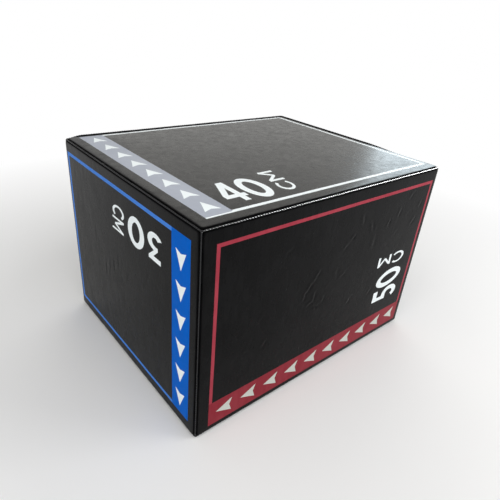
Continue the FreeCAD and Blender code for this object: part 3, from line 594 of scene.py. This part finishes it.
def red_print():
    """The greatest height: arrowheads along the lower side, and the number on its side."""
    left, right, low, high = -218.5, 226.5, -148, 138.2
    band_high = -106.2
    marks = framed(left, right, low, high, line=5.1, ink="red line")
    marks.append((rectangle(left, right, low, band_high), "red"))
    marks += arrows((-206, -127), (-1, 0), pitch=43.55, count=10, length=27.3, width=24.2, ink="silver")
    marks += glyph("5", (200.5, -80), along=(0, 27.5), up=(-70.5, 0))
    marks += glyph("0", (200.5, -46.5), along=(0, 34.5), up=(-70.5, -6))
    marks += glyph("C", (196, 17.3), along=(-35, 0), up=(0, -22))
    marks += glyph("M", (156.5, 17.5), along=(-36.5, 1), up=(0, -19))
    return marks


def grey_print():
    """The middle height: arrowheads along one end, and the number upright beside them."""
    left, right, low, high = -219, 227, -174.5, 187
    band_right, band_low = -180.3, -171.5
    marks = framed(left, right, low, high, line=5.8, ink="white")
    marks.append((rectangle(left, band_right, band_low, high), "grey"))
    marks += arrows((-199, 175), (0, 1), pitch=43.8, count=8, length=27.3, width=22.6)
    marks += glyph("4", (-165.5, -154.5), along=(33, 0), up=(0, 64))
    marks += glyph("0", (-129, -158.5), along=(38.5, 0), up=(0, 69))
    marks += glyph("C", (-53, -154), along=(3.5, 30.5), up=(-27, 0))
    marks += glyph("M", (-48, -119.5), along=(5, 37), up=(-26.5, 0))
    return marks


# Panels

class Crease:
    """A short bent fold in the vinyl: a soft groove with a ridge beside it, uneven along its length."""

    REACH = 5  # how far it acts to each side, in its widths
    BEND = 0.28  # how far it bends, as a share of half its length
    RIDGE = (0.8, 1.9, 1.2)  # its ridge's height, place and width, against the groove's
    ROWS = (-2.4, -1.1, 0, 1.0, 2.0, 3.4)  # rows of points that show it, in its widths

    def __init__(self, u, v, angle, length, depth, wide=2.2):
        self.middle = Vector((u, v))
        self.along = Vector((math.cos(math.radians(angle)), math.sin(math.radians(angle))))
        self.across = Vector((-self.along.y, self.along.x))
        self.half, self.depth, self.wide = length / 2, depth, wide
        self.reach = self.half + self.REACH * wide

    def bend(self, along):
        """How far the fold's line leaves its axis."""
        seed = Vector((self.middle.x, self.middle.y, 3.0))
        return self.BEND * self.half * noise.noise(seed + Vector((along * 1.3, 0, 0)))

    def rise(self, point):
        away = point - self.middle
        if abs(away.x) > self.reach or abs(away.y) > self.reach:
            return 0.0
        along = away.dot(self.along) / self.half
        if abs(along) >= 1:
            return 0.0
        across = (away.dot(self.across) - self.bend(along)) / self.wide
        if abs(across) > self.REACH:
            return 0.0
        uneven = 0.7 + 0.6 * noise.noise(Vector((along * 2.5, self.middle.x, self.middle.y)))
        fade = (1 - along * along) ** 2 * uneven
        high, place, wide = self.RIDGE
        ridge = high * math.exp(-((across - place) / wide) ** 2)
        groove = math.exp(-across * across)
        return self.depth * fade * (ridge - groove)

    def points(self):
        """Points along the fold, close enough together to show it."""
        steps = max(3, round(self.half / 2))
        for i in range(-steps, steps + 1):
            line = self.middle + self.along * (self.half * i / steps) + self.across * self.bend(i / steps)
            for row in self.ROWS:
                yield line + self.across * (row * self.wide)


def scattered(seed, count, half_wide, half_high, angle, spread, depth):
    """Faint creases strewn over part of a panel, the same ones each run."""
    draw = random.Random(seed)
    return [
        Crease(
            u=draw.uniform(-half_wide, half_wide), v=draw.uniform(-half_high, half_high),
            angle=draw.gauss(angle, spread), length=draw.uniform(10, 26),
            depth=depth * draw.uniform(0.4, 1.0), wide=draw.uniform(1.8, 3.2),
        )
        for _ in range(count)
    ]


def turned_section():
    """Section of an edge turned into a seam, as (outwards, down) from the flat part's end.

    Its end lies against the piping's flange, so that the seam is closed.
    """
    inner = ROLL - SKIN
    back = SKIN * math.sqrt(0.5)
    angles = [TURN * i / EDGE_STEPS for i in range(1, EDGE_STEPS + 1)]
    rings = [(ROLL * math.sin(angle), ROLL * (1 - math.cos(angle))) for angle in angles]
    end = (SEAM - ALLOWANCE - TAIL_THICK * math.sqrt(0.5), ALLOWANCE)
    rings += [end, (end[0] - back, end[1] - back)]
    rings += [(inner * math.sin(TURN * k), ROLL - inner * math.cos(TURN * k)) for k in (1, 0.5, 0)]
    return rings


def hemmed_section(count):
    """Section of an edge folded flat along the zip's slot, with as many points as a turned edge."""
    fold = SKIN / 2
    angles = [math.pi * i / EDGE_STEPS for i in range(1, EDGE_STEPS + 1)]
    rings = [(fold * math.sin(angle), fold * (1 - math.cos(angle))) for angle in angles]
    return rings + [(-HEM_STEP * k, SKIN) for k in range(1, count - EDGE_STEPS + 1)]


TURNED = turned_section()
HEMMED = hemmed_section(len(TURNED))


def ripple(point, long, seed):
    """Smooth noise over a face, whose waves are about as long as given."""
    return noise.noise(Vector((point.x / long, point.y / long, seed)))


class Panel:
    """One piece of the cover: an outline on a face, its prints, and how its surface lies."""

    def __init__(self, node, face, outline, inside, crown, seed, marks=(), creases=(), hemmed=None):
        self.node, self.face, self.foam = node, FACES[face], "foam_" + face
        self.outline, self.inside = outline, inside
        self.crown, self.seed = crown, seed
        self.marks, self.creases, self.hemmed = marks, creases, hemmed

    def rise(self, point):
        """Height of the surface above the face's plane."""
        edge = max(0.0, self.inside(point))
        near = max(0.0, 1 - edge / DROOP)
        swell = self.crown * (1 - math.exp(-edge / SWELL_RUN))
        wave = WAVE_HIGH * ripple(point, WAVE_LONG, self.seed)
        wave += RIPPLE_HIGH * ripple(point, RIPPLE_LONG, self.seed + 9)
        slack = SLACK + SLACK_SPREAD * ripple(point, SLACK_LONG, self.seed + 4)
        rise = swell + wave * (1 - near) - slack * near * near
        if self.crown == 0:
            rise = min(0.0, rise)
        return rise + sum(crease.rise(point) for crease in self.creases)

    def flat_points(self, normals):
        """Points inside the outline: rows near the edge, a grid, and rows along the creases."""
        for depth, every in INSETS:
            for place, normal in list(zip(self.outline, normals))[::every]:
                point = place - normal * depth
                if self.inside(point) > depth - SLIP:
                    yield point
        wide = math.ceil(self.face.half_wide / GRID)
        high = math.ceil(self.face.half_high / GRID)
        for i in range(-wide, wide + 1):
            for k in range(-high, high + 1):
                point = Vector(((i + 0.5 * (k % 2)) * GRID, k * GRID * ROW_SHARE))
                if self.inside(point) > INSETS[-1][0] + CLEAR:
                    yield point
        for crease in self.creases:
            for point in crease.points():
                if self.inside(point) > CLEAR:
                    yield point

    def build(self):
        count = len(self.outline)
        normals = []
        for i in range(count):
            run = self.outline[(i + 1) % count] - self.outline[i - 1]
            normals.append(Vector((run.y, -run.x)).normalized())
        flat = list(self.outline) + list(self.flat_points(normals))
        loops, inks = [list(range(count))], ["bare"]
        for outline, ink in self.marks:
            loop = spaced(outline, MARK_STEP)
            loops.append(list(range(len(flat), len(flat) + len(loop))))
            inks.append(ink)
            flat += loop
        flat, _, triangles, sources, _, owners = delaunay_2d_cdt(flat, [], loops, 0, SAME_POINT, True)
        points = [self.face.at(point.x, point.y, self.rise(point)) for point in flat]
        faces, kinds = [], []
        for triangle, inside in zip(triangles, owners):
            if 0 in inside:
                faces.append(tuple(triangle))
                kinds.append(INK_ORDER.index(inks[max(inside)]))
        place_of = {}
        for index, found in enumerate(sources):
            for source in found:
                if source < count:
                    place_of[source] = index
        self.add_edge(points, faces, normals, [place_of[i] for i in range(count)])
        kinds += [INK_ORDER.index("edge")] * (len(faces) - len(kinds))
        return make(self.node + "_cover", points, faces, list(INKS.values()), kinds)

    def add_edge(self, points, faces, normals, ring_before):
        """The turned or hemmed edge, and the lining that closes the panel behind."""
        rises = [self.rise(place) for place in self.outline]
        run, draws = 0.0, []
        for i, place in enumerate(self.outline):
            run += (place - self.outline[i - 1]).length
            stitch = 0.5 + 0.5 * math.cos(2 * math.pi * run / STITCH)
            uneven = 0.75 + 0.5 * noise.noise(Vector((run / PUCKER_RUN, 0, self.seed)))
            draws.append(PUCKER * stitch * uneven)
        for step in range(len(TURNED)):
            ring_here = []
            for i, (place, normal) in enumerate(zip(self.outline, normals)):
                hemmed = self.hemmed is not None and self.hemmed(place)
                out, down = (HEMMED if hemmed else TURNED)[step]
                keep = max(0.0, 1 - down / ROLL)
                if not hemmed and step < EDGE_STEPS:
                    drawn = draws[i] * math.sin(math.pi * (step + 1) / (EDGE_STEPS + 1))
                    out, down = out - drawn, down + 0.5 * drawn
                spot = place + normal * out
                ring_here.append(len(points))
                points.append(self.face.at(spot.x, spot.y, rises[i] * keep - down))
            faces += joined(ring_before, ring_here)
            ring_before = ring_here
        faces.append(tuple(reversed(ring_before)))


def whole_side(face, crown, seed, marks, creases):
    """A panel that covers a whole side of the box."""
    wide, high = FACES[face].half_wide - SEAM, FACES[face].half_high - SEAM
    outline = rounded(rectangle(-wide, wide, -high, high), [CORNER] * 4, FINE)

    def inside(point):
        return min(wide - abs(point.x), high - abs(point.y))

    return Panel(face + "_panel", face, outline, inside, crown, seed, marks, creases)


def past_bends(point, wide, high, bend):
    """How far a place on the back lies outside an upside-down U with rounded corners."""
    over, above = abs(point.x) - (wide - bend), point.y - (high - bend)
    if over > 0 and above > 0:
        return math.hypot(over, above) - bend
    return max(abs(point.x) - wide, point.y - high)


def zipped_flap(crown, seed, creases):
    """The part of the back inside the zip, seamed along its lower edge."""
    wide, low, high = ZIP_X - SLOT, SEAM - MIDDLE, ZIP_TOP - SLOT - MIDDLE
    bend = ZIP_BEND - SLOT
    outline = rounded(rectangle(-wide, wide, low, high), [0, 0, bend, bend], FINE)

    def inside(point):
        return min(-past_bends(point, wide, high, bend), point.y - low)

    def hemmed(place):
        return place.y > low + ON_LINE

    return Panel("back_flap", "back", outline, inside, crown, seed, creases=creases, hemmed=hemmed)


def zip_border(crown, seed):
    """The part of the back round the zip, seamed along its outer edge."""
    wide, low, high = HALF_X - SEAM, SEAM - MIDDLE, MIDDLE - SEAM
    slot, top, bend = ZIP_X + SLOT, ZIP_TOP + SLOT - MIDDLE, ZIP_BEND + SLOT
    corners = [
        (-wide, low), (-slot, low), (-slot, top), (slot, top),
        (slot, low), (wide, low), (wide, high), (-wide, high),
    ]
    radii = [CORNER, 0, bend, bend, 0, CORNER, CORNER, CORNER]
    outline = rounded([Vector(corner) for corner in corners], radii, FINE)

    def past_slot(point):
        return past_bends(point, slot, top, bend)

    def inside(point):
        return min(wide - abs(point.x), high - point.y, point.y - low, past_slot(point))

    def hemmed(place):
        return past_slot(place) < ON_LINE and place.y > low + ON_LINE

    return Panel("back_border", "back", outline, inside, crown, seed, hemmed=hemmed)


# A crease has a place, angle, length, depth and width. Scattered ones have a seed, a count, half a width
# and height to lie in, an angle with its spread, and a depth.
FRONT_CREASES = [
    Crease(-46, 24, 48, 40, 0.90), Crease(-32, 40, 55, 18, 0.72), Crease(-56, 8, 60, 22, 0.63),
    Crease(-34, 2, 80, 26, 0.54), Crease(-42, -10, 20, 22, 0.63), Crease(-28, -20, 160, 24, 0.63),
    Crease(-12, -12, 70, 20, 0.45), Crease(10, 28, 100, 28, 0.54, 3.2), Crease(26, 18, 40, 20, 0.45),
    Crease(20, 68, 40, 24, 0.72), Crease(34, 80, 48, 16, 0.99, 1.9), Crease(52, 106, 100, 24, 0.72),
    Crease(78, 90, 120, 26, 0.63), Crease(92, 58, 96, 34, 0.54, 3.4), Crease(122, 84, 84, 22, 0.63),
    Crease(148, 96, 70, 24, 0.72), Crease(132, 40, 150, 20, 0.45), Crease(56, -42, 60, 16, 0.72),
    Crease(112, -44, 50, 22, 0.45), Crease(196, 70, 66, 26, 0.63), Crease(206, 100, 80, 20, 0.54),
    Crease(-128, -44, 40, 22, 0.54), Crease(-100, 96, 50, 26, 0.36), Crease(172, 120, 30, 24, 0.54),
] + scattered(2, 46, 190, 100, 55, 35, 0.20)
LEFT_CREASES = [
    Crease(-60, -14, 84, 46, 0.40), Crease(-45, -8, 78, 44, 0.40), Crease(-30, 6, 97, 36, 0.35),
    Crease(-14, 18, 80, 34, 0.35), Crease(17, 10, 74, 26, 0.25), Crease(75, 38, 82, 26, 0.22),
    Crease(-92, 30, 88, 40, 0.18),
] + scattered(3, 16, 140, 90, 82, 14, 0.14)

# A panel's first two numbers are its crown and seed
PANELS = [
    whole_side("top", 0.8, 11, grey_print(), scattered(1, 30, 190, 150, 30, 45, 0.12)),
    whole_side("front", 0.6, 21, red_print(), FRONT_CREASES),
    whole_side("left", 0.6, 31, blue_print(), LEFT_CREASES),
    whole_side("right", 0.6, 41, blue_print(), scattered(4, 30, 150, 100, 70, 30, 0.16)),
    whole_side("bottom", 0.0, 51, grey_print(), scattered(5, 24, 190, 150, 20, 60, 0.10)),
    zipped_flap(0.5, 61, scattered(6, 26, 170, 110, 60, 30, 0.16)),
    zip_border(0.0, 62),
]


def foam_slabs():
    """Soft slabs under the panels, eased at their edges so that the seams lie free."""
    slabs = {}
    for node in sorted({panel.foam for panel in PANELS}):
        low, high = (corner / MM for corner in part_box(node))
        shape = bmesh.new()
        bmesh.ops.create_cube(shape, size=1)
        for vertex in shape.verts:
            outer = vertex.co.y > 0
            vertex.co = Vector(high[i] if vertex.co[i] > 0 else low[i] for i in range(3))
            if node == "foam_back" and outer:
                vertex.co.y -= ZIP_ROOM
        if node == "foam_back":
            back = max(shape.faces, key=lambda face: face.calc_center_median().y)
            bmesh.ops.inset_individual(shape, faces=[back], thickness=PAD_EDGE, depth=0)
            bmesh.ops.inset_individual(shape, faces=[back], thickness=PAD_SLOPE, depth=PAD_HIGH)
        edges = [edge for edge in shape.edges if edge.calc_face_angle(0) > SHARP]
        bmesh.ops.bevel(shape, geom=edges, offset=EASE, segments=3, profile=0.25, affect="EDGES")
        points = [vertex.co.copy() for vertex in shape.verts]
        shape.verts.index_update()
        faces = [tuple(vertex.index for vertex in face.verts) for face in shape.faces]
        shape.free()
        slab = make(node + "_slab", points, faces, [FOAM])
        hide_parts(node)
        slabs[node] = slab
    return slabs


def cover(slabs):
    """The vinyl panels, stretched over their foam."""
    for panel in PANELS:
        piece = panel.build()
        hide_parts(panel.node)
        low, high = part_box(panel.node)
        flat = [abs((high - low).dot(way)) + TURN_IN * MM for way in (panel.face.right, panel.face.up)]
        if panel.node == "back_border":
            flat = (BORDER_CUT * MM, (2 * (ZIP_TOP + ZIP_X) + TALL - ZIP_TOP) * MM)


# Piping

def keyhole(lean, tail=TAIL):
    """Section of the piping: a round cord with a flat flange leaning in at an angle."""
    half = math.asin(TAIL_THICK / 2 / CORD)
    points = []
    for i in range(CORD_STEPS + 1):
        angle = lean + half + (2 * math.pi - 2 * half) * i / CORD_STEPS
        points.append((CORD * math.cos(angle), CORD * math.sin(angle)))
    along = Vector((math.cos(lean), math.sin(lean)))
    side = Vector((-along.y, along.x)) * TAIL_THICK / 2
    for end in (along * tail - side, along * tail + side):
        points.append((end.x, end.y))
    return points


def wobbled(path, seed, pinch):
    """A path that wanders a little, and is drawn along pinch at each stitch, as sewn piping is."""
    found, run = [], 0.0
    for i, point in enumerate(path):
        run += (point - path[max(i - 1, 0)]).length
        drift = noise.noise_vector(Vector(point) / WANDER_LONG + Vector((seed, 0, 0)))
        found.append(point + drift * WANDER + pinch * (0.5 + 0.5 * math.cos(2 * math.pi * run / STITCH)))
    return found


def proud(place):
    """How much of its full rise the top loop has at a place: all of it along the back, none in front."""
    if place.x > AT_EDGE * HALF_X:
        share = (place.y - LOW_FROM) / (LOW_TO - LOW_FROM)
    elif place.y > AT_EDGE * HALF_Y:
        share = (place.x + HALF_X) / RISE_RUN
    else:
        return 0.0
    share = min(max(share, 0.0), 1.0)
    return share * share * (3 - 2 * share)


def dress_top_loop(piece):
    """Gives the top loop three copies of its vinyl: satin at the left, a darker matt copy where it is
    raised, which is painted shade, and a paler glossy copy elsewhere, which is a painted highlight.
    """
    materials = piece.data.materials
    materials.append(HIGHLIT_PIPING)
    materials.append(SHADED_PIPING)
    # 1 is the paler copy with its painted highlight, 2 the darker copy with its painted shade
    bright, dull = 1, 2
    for facet in piece.data.polygons:
        place = facet.center / MM
        if proud(place) > 0.5:
            facet.material_index = dull
        elif place.x > -AT_EDGE * HALF_X:
            facet.material_index = bright


def piping():
    """A loop round the top, one round the base, and four uprights between them."""
    wide, deep = HALF_X - INSET, HALF_Y - INSET
    loops = (("welt_top", TALL - INSET, 225, -Z, LONG_TAIL), ("welt_bottom", INSET, 135, Z, TAIL))
    for node, height, lean, inward, tail in loops:
        flat = rounded(rectangle(-wide, wide, -deep, deep), [2 * CORD] * 4, LOOP_STEP)
        path = [Vector((p.x, p.y, height)) for p in flat]
        ways = sides(path, True, Z)
        if node == "welt_top":
            path = [p + (way + Z) * RISE * proud(p) for p, way in zip(path, ways)]
        sewn = wobbled(path, height, inward * PINCH)
        section = keyhole(math.radians(lean), tail)
        piece = sweep(node + "_piping", sewn, True, ways.__getitem__, Z, section, SATIN_PIPING)
        if node == "welt_top":
            dress_top_loop(piece)
        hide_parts(node)
    for across, x in (("left", -1), ("right", 1)):
        for along, y in (("front", -1), ("back", 1)):
            node = f"welt_{along}_{across}"
            low, high = INSET + CORD / 2, TALL - INSET - CORD / 2
            if node == "welt_back_right":
                high += RISE
            corner = Vector((x * wide, y * deep, 0))
            heights = [low + (high - low) * i / UPRIGHT_STEPS for i in range(UPRIGHT_STEPS + 1)]
            inward = (X * -x + Y * -y) * (PINCH / 2)
            sewn = wobbled([corner + Z * height for height in heights], 7 * x + y, inward)
            section = list(reversed(keyhole(math.atan2(-y, -x))))
            piece = sweep(node + "_piping", sewn, False, lambda i: X, Y, section, SATIN_PIPING)
            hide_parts(node)


# Zip

def zip_line():
    """The zip's middle line on the back, up one side, across and down the other."""
    high, low = ZIP_TOP - MIDDLE, ZIP_END - MIDDLE
    corners = [Vector(p) for p in ((-ZIP_X, low), (-ZIP_X, high), (ZIP_X, high), (ZIP_X, low))]
    flat = rounded(corners, [0, ZIP_BEND, ZIP_BEND, 0], ZIP_STEP)
    last = max(i for i, p in enumerate(flat) if (p - corners[-1]).length < ON_LINE)
    return flat[:last + 1]


def offset_line(flat, offset):
    """A line beside another, to its left where offset is positive."""
    found = []
    for i, place in enumerate(flat):
        run = flat[min(i + 1, len(flat) - 1)] - flat[max(i - 1, 0)]
        found.append(place + Vector((-run.y, run.x)).normalized() * offset)
    return found


def tapes():
    """The two woven tapes, each with a corded edge beside the teeth."""
    back, flat = FACES["back"], zip_line()
    path = [back.at(p.x, p.y, -TAPE_DEPTH) for p in flat]
    ways = sides(path, False, back.out)
    half = TAPE_THICK / 2
    outline = [(TAPE_NEAR, -half), (TAPE_FAR, -half), (TAPE_FAR, half)]
    outline += [(TAPE_NEAR + out, half + rise) for out, rise in TAPE_CORD]
    outline.append((TAPE_NEAR, half))
    for node, way in (("zip_tape_border", -1), ("zip_tape_flap", 1)):
        section = [(way * out, rise) for out, rise in outline]
        if way < 0:
            section.reverse()
        piece = sweep(node + "_woven", path, False, ways.__getitem__, back.out, section, TAPE)
        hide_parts(node)
        length = sum((b - a).length for a, b in zip(flat, flat[1:]))


def stitches(name, rows, face, rise_of):
    """Lockstitches along rows of points on a face."""
    points, faces = [], []
    for row in rows:
        for here, after in zip(row, row[1:]):
            run = (after - here).normalized()
            side = Vector((-run.y, run.x))
            middle = here.lerp(after, 0.5)
            base = len(points)
            for share, size, lift in THREAD_SECTIONS:
                place = middle + run * THREAD_LONG * share
                level = rise_of(place) + lift
                for k in range(THREAD_AROUND):
                    angle = 2 * math.pi * k / THREAD_AROUND
                    spot = place + side * (math.cos(angle) * THREAD_THICK * size)
                    points.append(face.at(spot.x, spot.y, level + math.sin(angle) * THREAD_THICK * size))
            last = base + (len(THREAD_SECTIONS) - 1) * THREAD_AROUND
            for a in range(base, last, THREAD_AROUND):
                b = a + THREAD_AROUND
                faces += joined(range(a, b), range(b, b + THREAD_AROUND), flip=True)
            faces.append(tuple(reversed(range(base, base + THREAD_AROUND))))
            faces.append(tuple(range(last, last + THREAD_AROUND)))
    piece = make(name, points, faces, [THREAD])


def row_along(line, pitch):
    """Points a pitch apart along an open line."""
    found, left = [line[0]], pitch
    for here, after in zip(line, line[1:]):
        run = (after - here).length
        start = 0.0
        while run - start >= left:
            start += left
            found.append(here.lerp(after, start / run))
            left = pitch
        left -= run - start
    return found


def zip_stitching():
    """A row of stitches each side of the slot, through vinyl and tape."""
    panels = {panel.node: panel for panel in PANELS}
    for node, way in (("back_border", 1), ("back_flap", -1)):
        line = offset_line(zip_line(), way * (SLOT + SLOT_ROW))
        line = [p for p in line if p.y > SEAM + CLEAR - MIDDLE]
        stitches("stitching_" + node, [row_along(line, ZIP_STITCH)], FACES["back"], panels[node].rise)


def end_tabs():
    """Two vinyl patches sewn over the ends of the slot."""
    back = FACES["back"]
    points, faces, rows = [], [], []
    low = ZIP_END - MIDDLE
    for x in (-ZIP_X, ZIP_X):
        patch = (x - TAB_WIDE / 2, x + TAB_WIDE / 2, low, low + TAB_HIGH)
        rings = []
        for inset, rise in TAB_SECTION:
            radius = max(TAB_LEAST_CORNER, TAB_CORNER - inset)
            outline = even(rounded(rectangle(*patch, inset), [radius] * 4, TAB_WIDE), TAB_POINTS)
            rings.append([len(points) + i for i in range(TAB_POINTS)])
            points += [back.at(p.x, p.y, rise) for p in outline]
        for before, after in zip(rings, rings[1:]):
            faces += joined(before, after, flip=True)
        faces.append(tuple(rings[-1]))
        faces.append(tuple(reversed(rings[0])))
        line = spaced(rectangle(*patch, TAB_ROW), ZIP_STITCH)
        rows.append(line + line[:1])
    piece = make("zip_end_tabs_sewn", points, faces, [VINYL])
    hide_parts("zip_end_tabs")
    stitches("stitching_end_tabs", rows, back, lambda place: TAB_ROW_RISE)


# Pieces kept from the frame

# Each board's thin axis and the axis of its face grain
BOARDS = {
    "ply_top": (2, 0), "ply_bottom": (2, 0), "ply_front": (1, 0), "ply_back": (1, 0),
    "ply_left": (0, 1), "ply_right": (0, 1), "ply_divider": (0, 1),
}
BOARD_EASE = 0.6  # how wide the boards' edges are eased
EASE_FROM = 40  # the angle from which an edge is eased, in degrees
WELD = 0.01  # points closer than this are joined first
# The other rigid pieces, each with its look and how wide its edges are eased
TRIM = {
    "zip_teeth_border": (TEETH, 0), "zip_teeth_flap": (TEETH, 0), "zip_end_stops": (TEETH, 0.3),
    "zip_start_stop": (TEETH, 0.4), "zip_slider": (METAL, 0.3), "zip_pull": (METAL, 0.25),
}


def eased(piece, wide):
    """Softens the edges of a rigid piece."""
    weld = piece.modifiers.new("weld", "WELD")
    weld.merge_threshold = WELD * MM
    bevel = piece.modifiers.new("bevel", "BEVEL")
    bevel.width, bevel.segments, bevel.limit_method = wide * MM, 2, "ANGLE"
    bevel.angle_limit = math.radians(EASE_FROM)


def finish_rigid():
    """Gives the rigid pieces their looks and soft edges."""
    woods = {pair: plywood(f"plywood_{'xyz'[pair[0]]}", *pair) for pair in sorted(set(BOARDS.values()))}
    looks = {node: (woods[pair], BOARD_EASE) for node, pair in BOARDS.items()}
    looks.update(TRIM)
    for node, (material, wide) in looks.items():
        piece = frame["nodes"][node]
        piece.data.materials.clear()
        piece.data.materials.append(material)
        if wide:
            eased(piece, wide)


# Studio, in metres

WHITE = (1, 1, 1, 1)
SKY = (0.35, 0.345, 0.34, 1)  # the surround, high up
SKY_FROM, SKY_TO = 0.34, 0.60  # where it turns from white to that, as the sine of the height
FILL = (0.4, 0.4, 0.4, 1)  # what the surround gives to matt surfaces
FLOOR_HALF = 60
FLOOR_DROP = 0.0004  # keeps the base clear of the floor
SHADOW_NEAR, SHADOW_FAR = 0.45, 1.1  # where the floor's shading fades into plain white
LAMPS = (  # name, place, aim, width, height, watts, colour
    ("over", (-0.4, -0.7, 1.25), (-0.05, -0.05, 0.3), 1.0, 1.0, 6.1, (1, 0.985, 0.96)),
    ("window", (1.72, 0.54, 0.86), (0.2, -0.15, 0.31), 0.64, 0.8, 10.2, (0.80, 0.93, 1)),
    ("card", (1.75, -0.75, 0.76), (0.1, -0.15, 0.31), 2.0, 0.66, 210, (0.97, 0.99, 1)),
    ("backdrop", (1.31, 1.68, 1.00), (0, 0, 0.31), 1.96, 0.9, 3.7, (1, 0.98, 0.90)),
    ("lintel", (1.55, 1.45, 1.68), (-0.2, -0.18, 0.32), 2.1, 0.62, 8.8, (1, 0.98, 0.92)),
    ("left", (-1.9, -0.2, 0.9), (-0.2, 0, 0.2), 1.2, 1.2, 8, (1, 1, 1)),
    ("front", (0.95, -1.05, 0.75), (0.1, -0.195, 0.15), 0.8, 0.8, 8.0, (1, 1, 1)),
)
GLOSS_ONLY = ("window", "card")  # lamps that show in gloss and give no other light
MATT_ONLY = ("front",)  # lamps that don't show in gloss
PIPING_ONLY = ("card",)  # lamps that shine on the piping alone
EYE = (-0.47542, -0.53214, 0.52263)
HEADING, DIP, TILT = 42.167, 28.332, 5.262  # the camera's turn from +Y, its dip and its roll, in degrees
SENSOR, LENS = 36, 31.892  # in millimetres


def surround():
    """White low down and grey high up, and an even grey for what is matt."""
    scene.world = bpy.data.worlds.new("surround")
    scene.world.use_nodes = True
    sky = Nodes(scene.world.node_tree)
    way = sky.add("TexCoord").outputs["Generated"]
    height = sky.add("SeparateXYZ", {0: way}).outputs["Z"]
    shown = sky.mix(sky.span(height, 0, 1, SKY_FROM, SKY_TO), WHITE, SKY)
    matt = sky.add("LightPath").outputs["Is Diffuse Ray"]
    sky.fill(sky.tree.nodes["Background"], {"Color": sky.mix(matt, shown, FILL)})


def white_floor():
    """A floor that keeps the shadow near the box and is plain white further off."""
    mesh = bpy.data.meshes.new("floor")
    corners = rectangle(-FLOOR_HALF, FLOOR_HALF, -FLOOR_HALF, FLOOR_HALF)
    mesh.from_pydata([corner.to_3d() for corner in corners], [], [(0, 1, 2, 3)])
    floor = bpy.data.objects.new("floor", mesh)
    scene.collection.objects.link(floor)
    floor.location.z = -FLOOR_DROP
    look = Look("floor_white")
    look.shade(Base_Color=(0.93, 0.93, 0.93, 1), Roughness=0.9, Specular_IOR_Level=0)
    glow = look.add("Emission", {"Color": WHITE, "Strength": 1.0})
    path = look.add("LightPath").outputs
    seen = look.combine(path["Is Camera Ray"], path["Is Glossy Ray"], "MAXIMUM")
    seen = look.combine(seen, path["Is Transmission Ray"], "MAXIMUM")
    away = look.add("VectorMath", {0: look.place}, operation="LENGTH").outputs["Value"]
    plain = look.combine(seen, look.span(away, 0, 1, SHADOW_NEAR, SHADOW_FAR), "MULTIPLY")
    blend = look.add("MixShader", {0: plain, 1: look.shader.outputs[0], 2: glow.outputs[0]})
    look.fill(look.tree.nodes["Material Output"], {"Surface": blend.outputs[0]})
    mesh.materials.append(look.material)


def lamps():
    """Soft lamps round the box."""
    trim = bpy.data.collections.new("trim")
    for piece in [thing for thing in bpy.data.objects if thing.name.endswith("_piping")]:
        trim.objects.link(piece)
    for name, place, aim, wide, high, power, colour in LAMPS:
        light = bpy.data.lights.new(name, "AREA")
        light.shape, light.size, light.size_y = "RECTANGLE", wide, high
        light.energy, light.color = power, colour
        lamp = bpy.data.objects.new(name, light)
        scene.collection.objects.link(lamp)
        lamp.location = place
        lamp.rotation_mode = "QUATERNION"
        lamp.rotation_quaternion = (Vector(aim) - Vector(place)).to_track_quat("-Z", "Y")
        lamp.visible_camera = False
        lamp.visible_diffuse = name not in GLOSS_ONLY
        lamp.visible_glossy = name not in MATT_ONLY
        if name in PIPING_ONLY:
            lamp.light_linking.receiver_collection = trim


def camera():
    """The camera, where the photograph was taken."""
    view = bpy.data.cameras.new("camera")
    view.sensor_width, view.lens = SENSOR, LENS
    eye = bpy.data.objects.new("camera", view)
    scene.collection.objects.link(eye)
    heading, dip, tilt = (math.radians(angle) for angle in (HEADING, DIP, TILT))
    forward = Vector((math.sin(heading) * math.cos(dip), math.cos(heading) * math.cos(dip), -math.sin(dip)))
    level = Vector((math.cos(heading), -math.sin(heading), 0))
    above = level.cross(forward)
    right = level * math.cos(tilt) + above * math.sin(tilt)
    up = above * math.cos(tilt) - level * math.sin(tilt)
    turn = Matrix((right, up, -forward)).transposed().to_4x4()
    eye.matrix_world = Matrix.Translation(EYE) @ turn
    scene.camera = eye


cover(foam_slabs())
piping()
tapes()
zip_stitching()
end_tabs()
finish_rigid()
surround()
white_floor()
lamps()
camera()

bpy.context.view_layer.update()
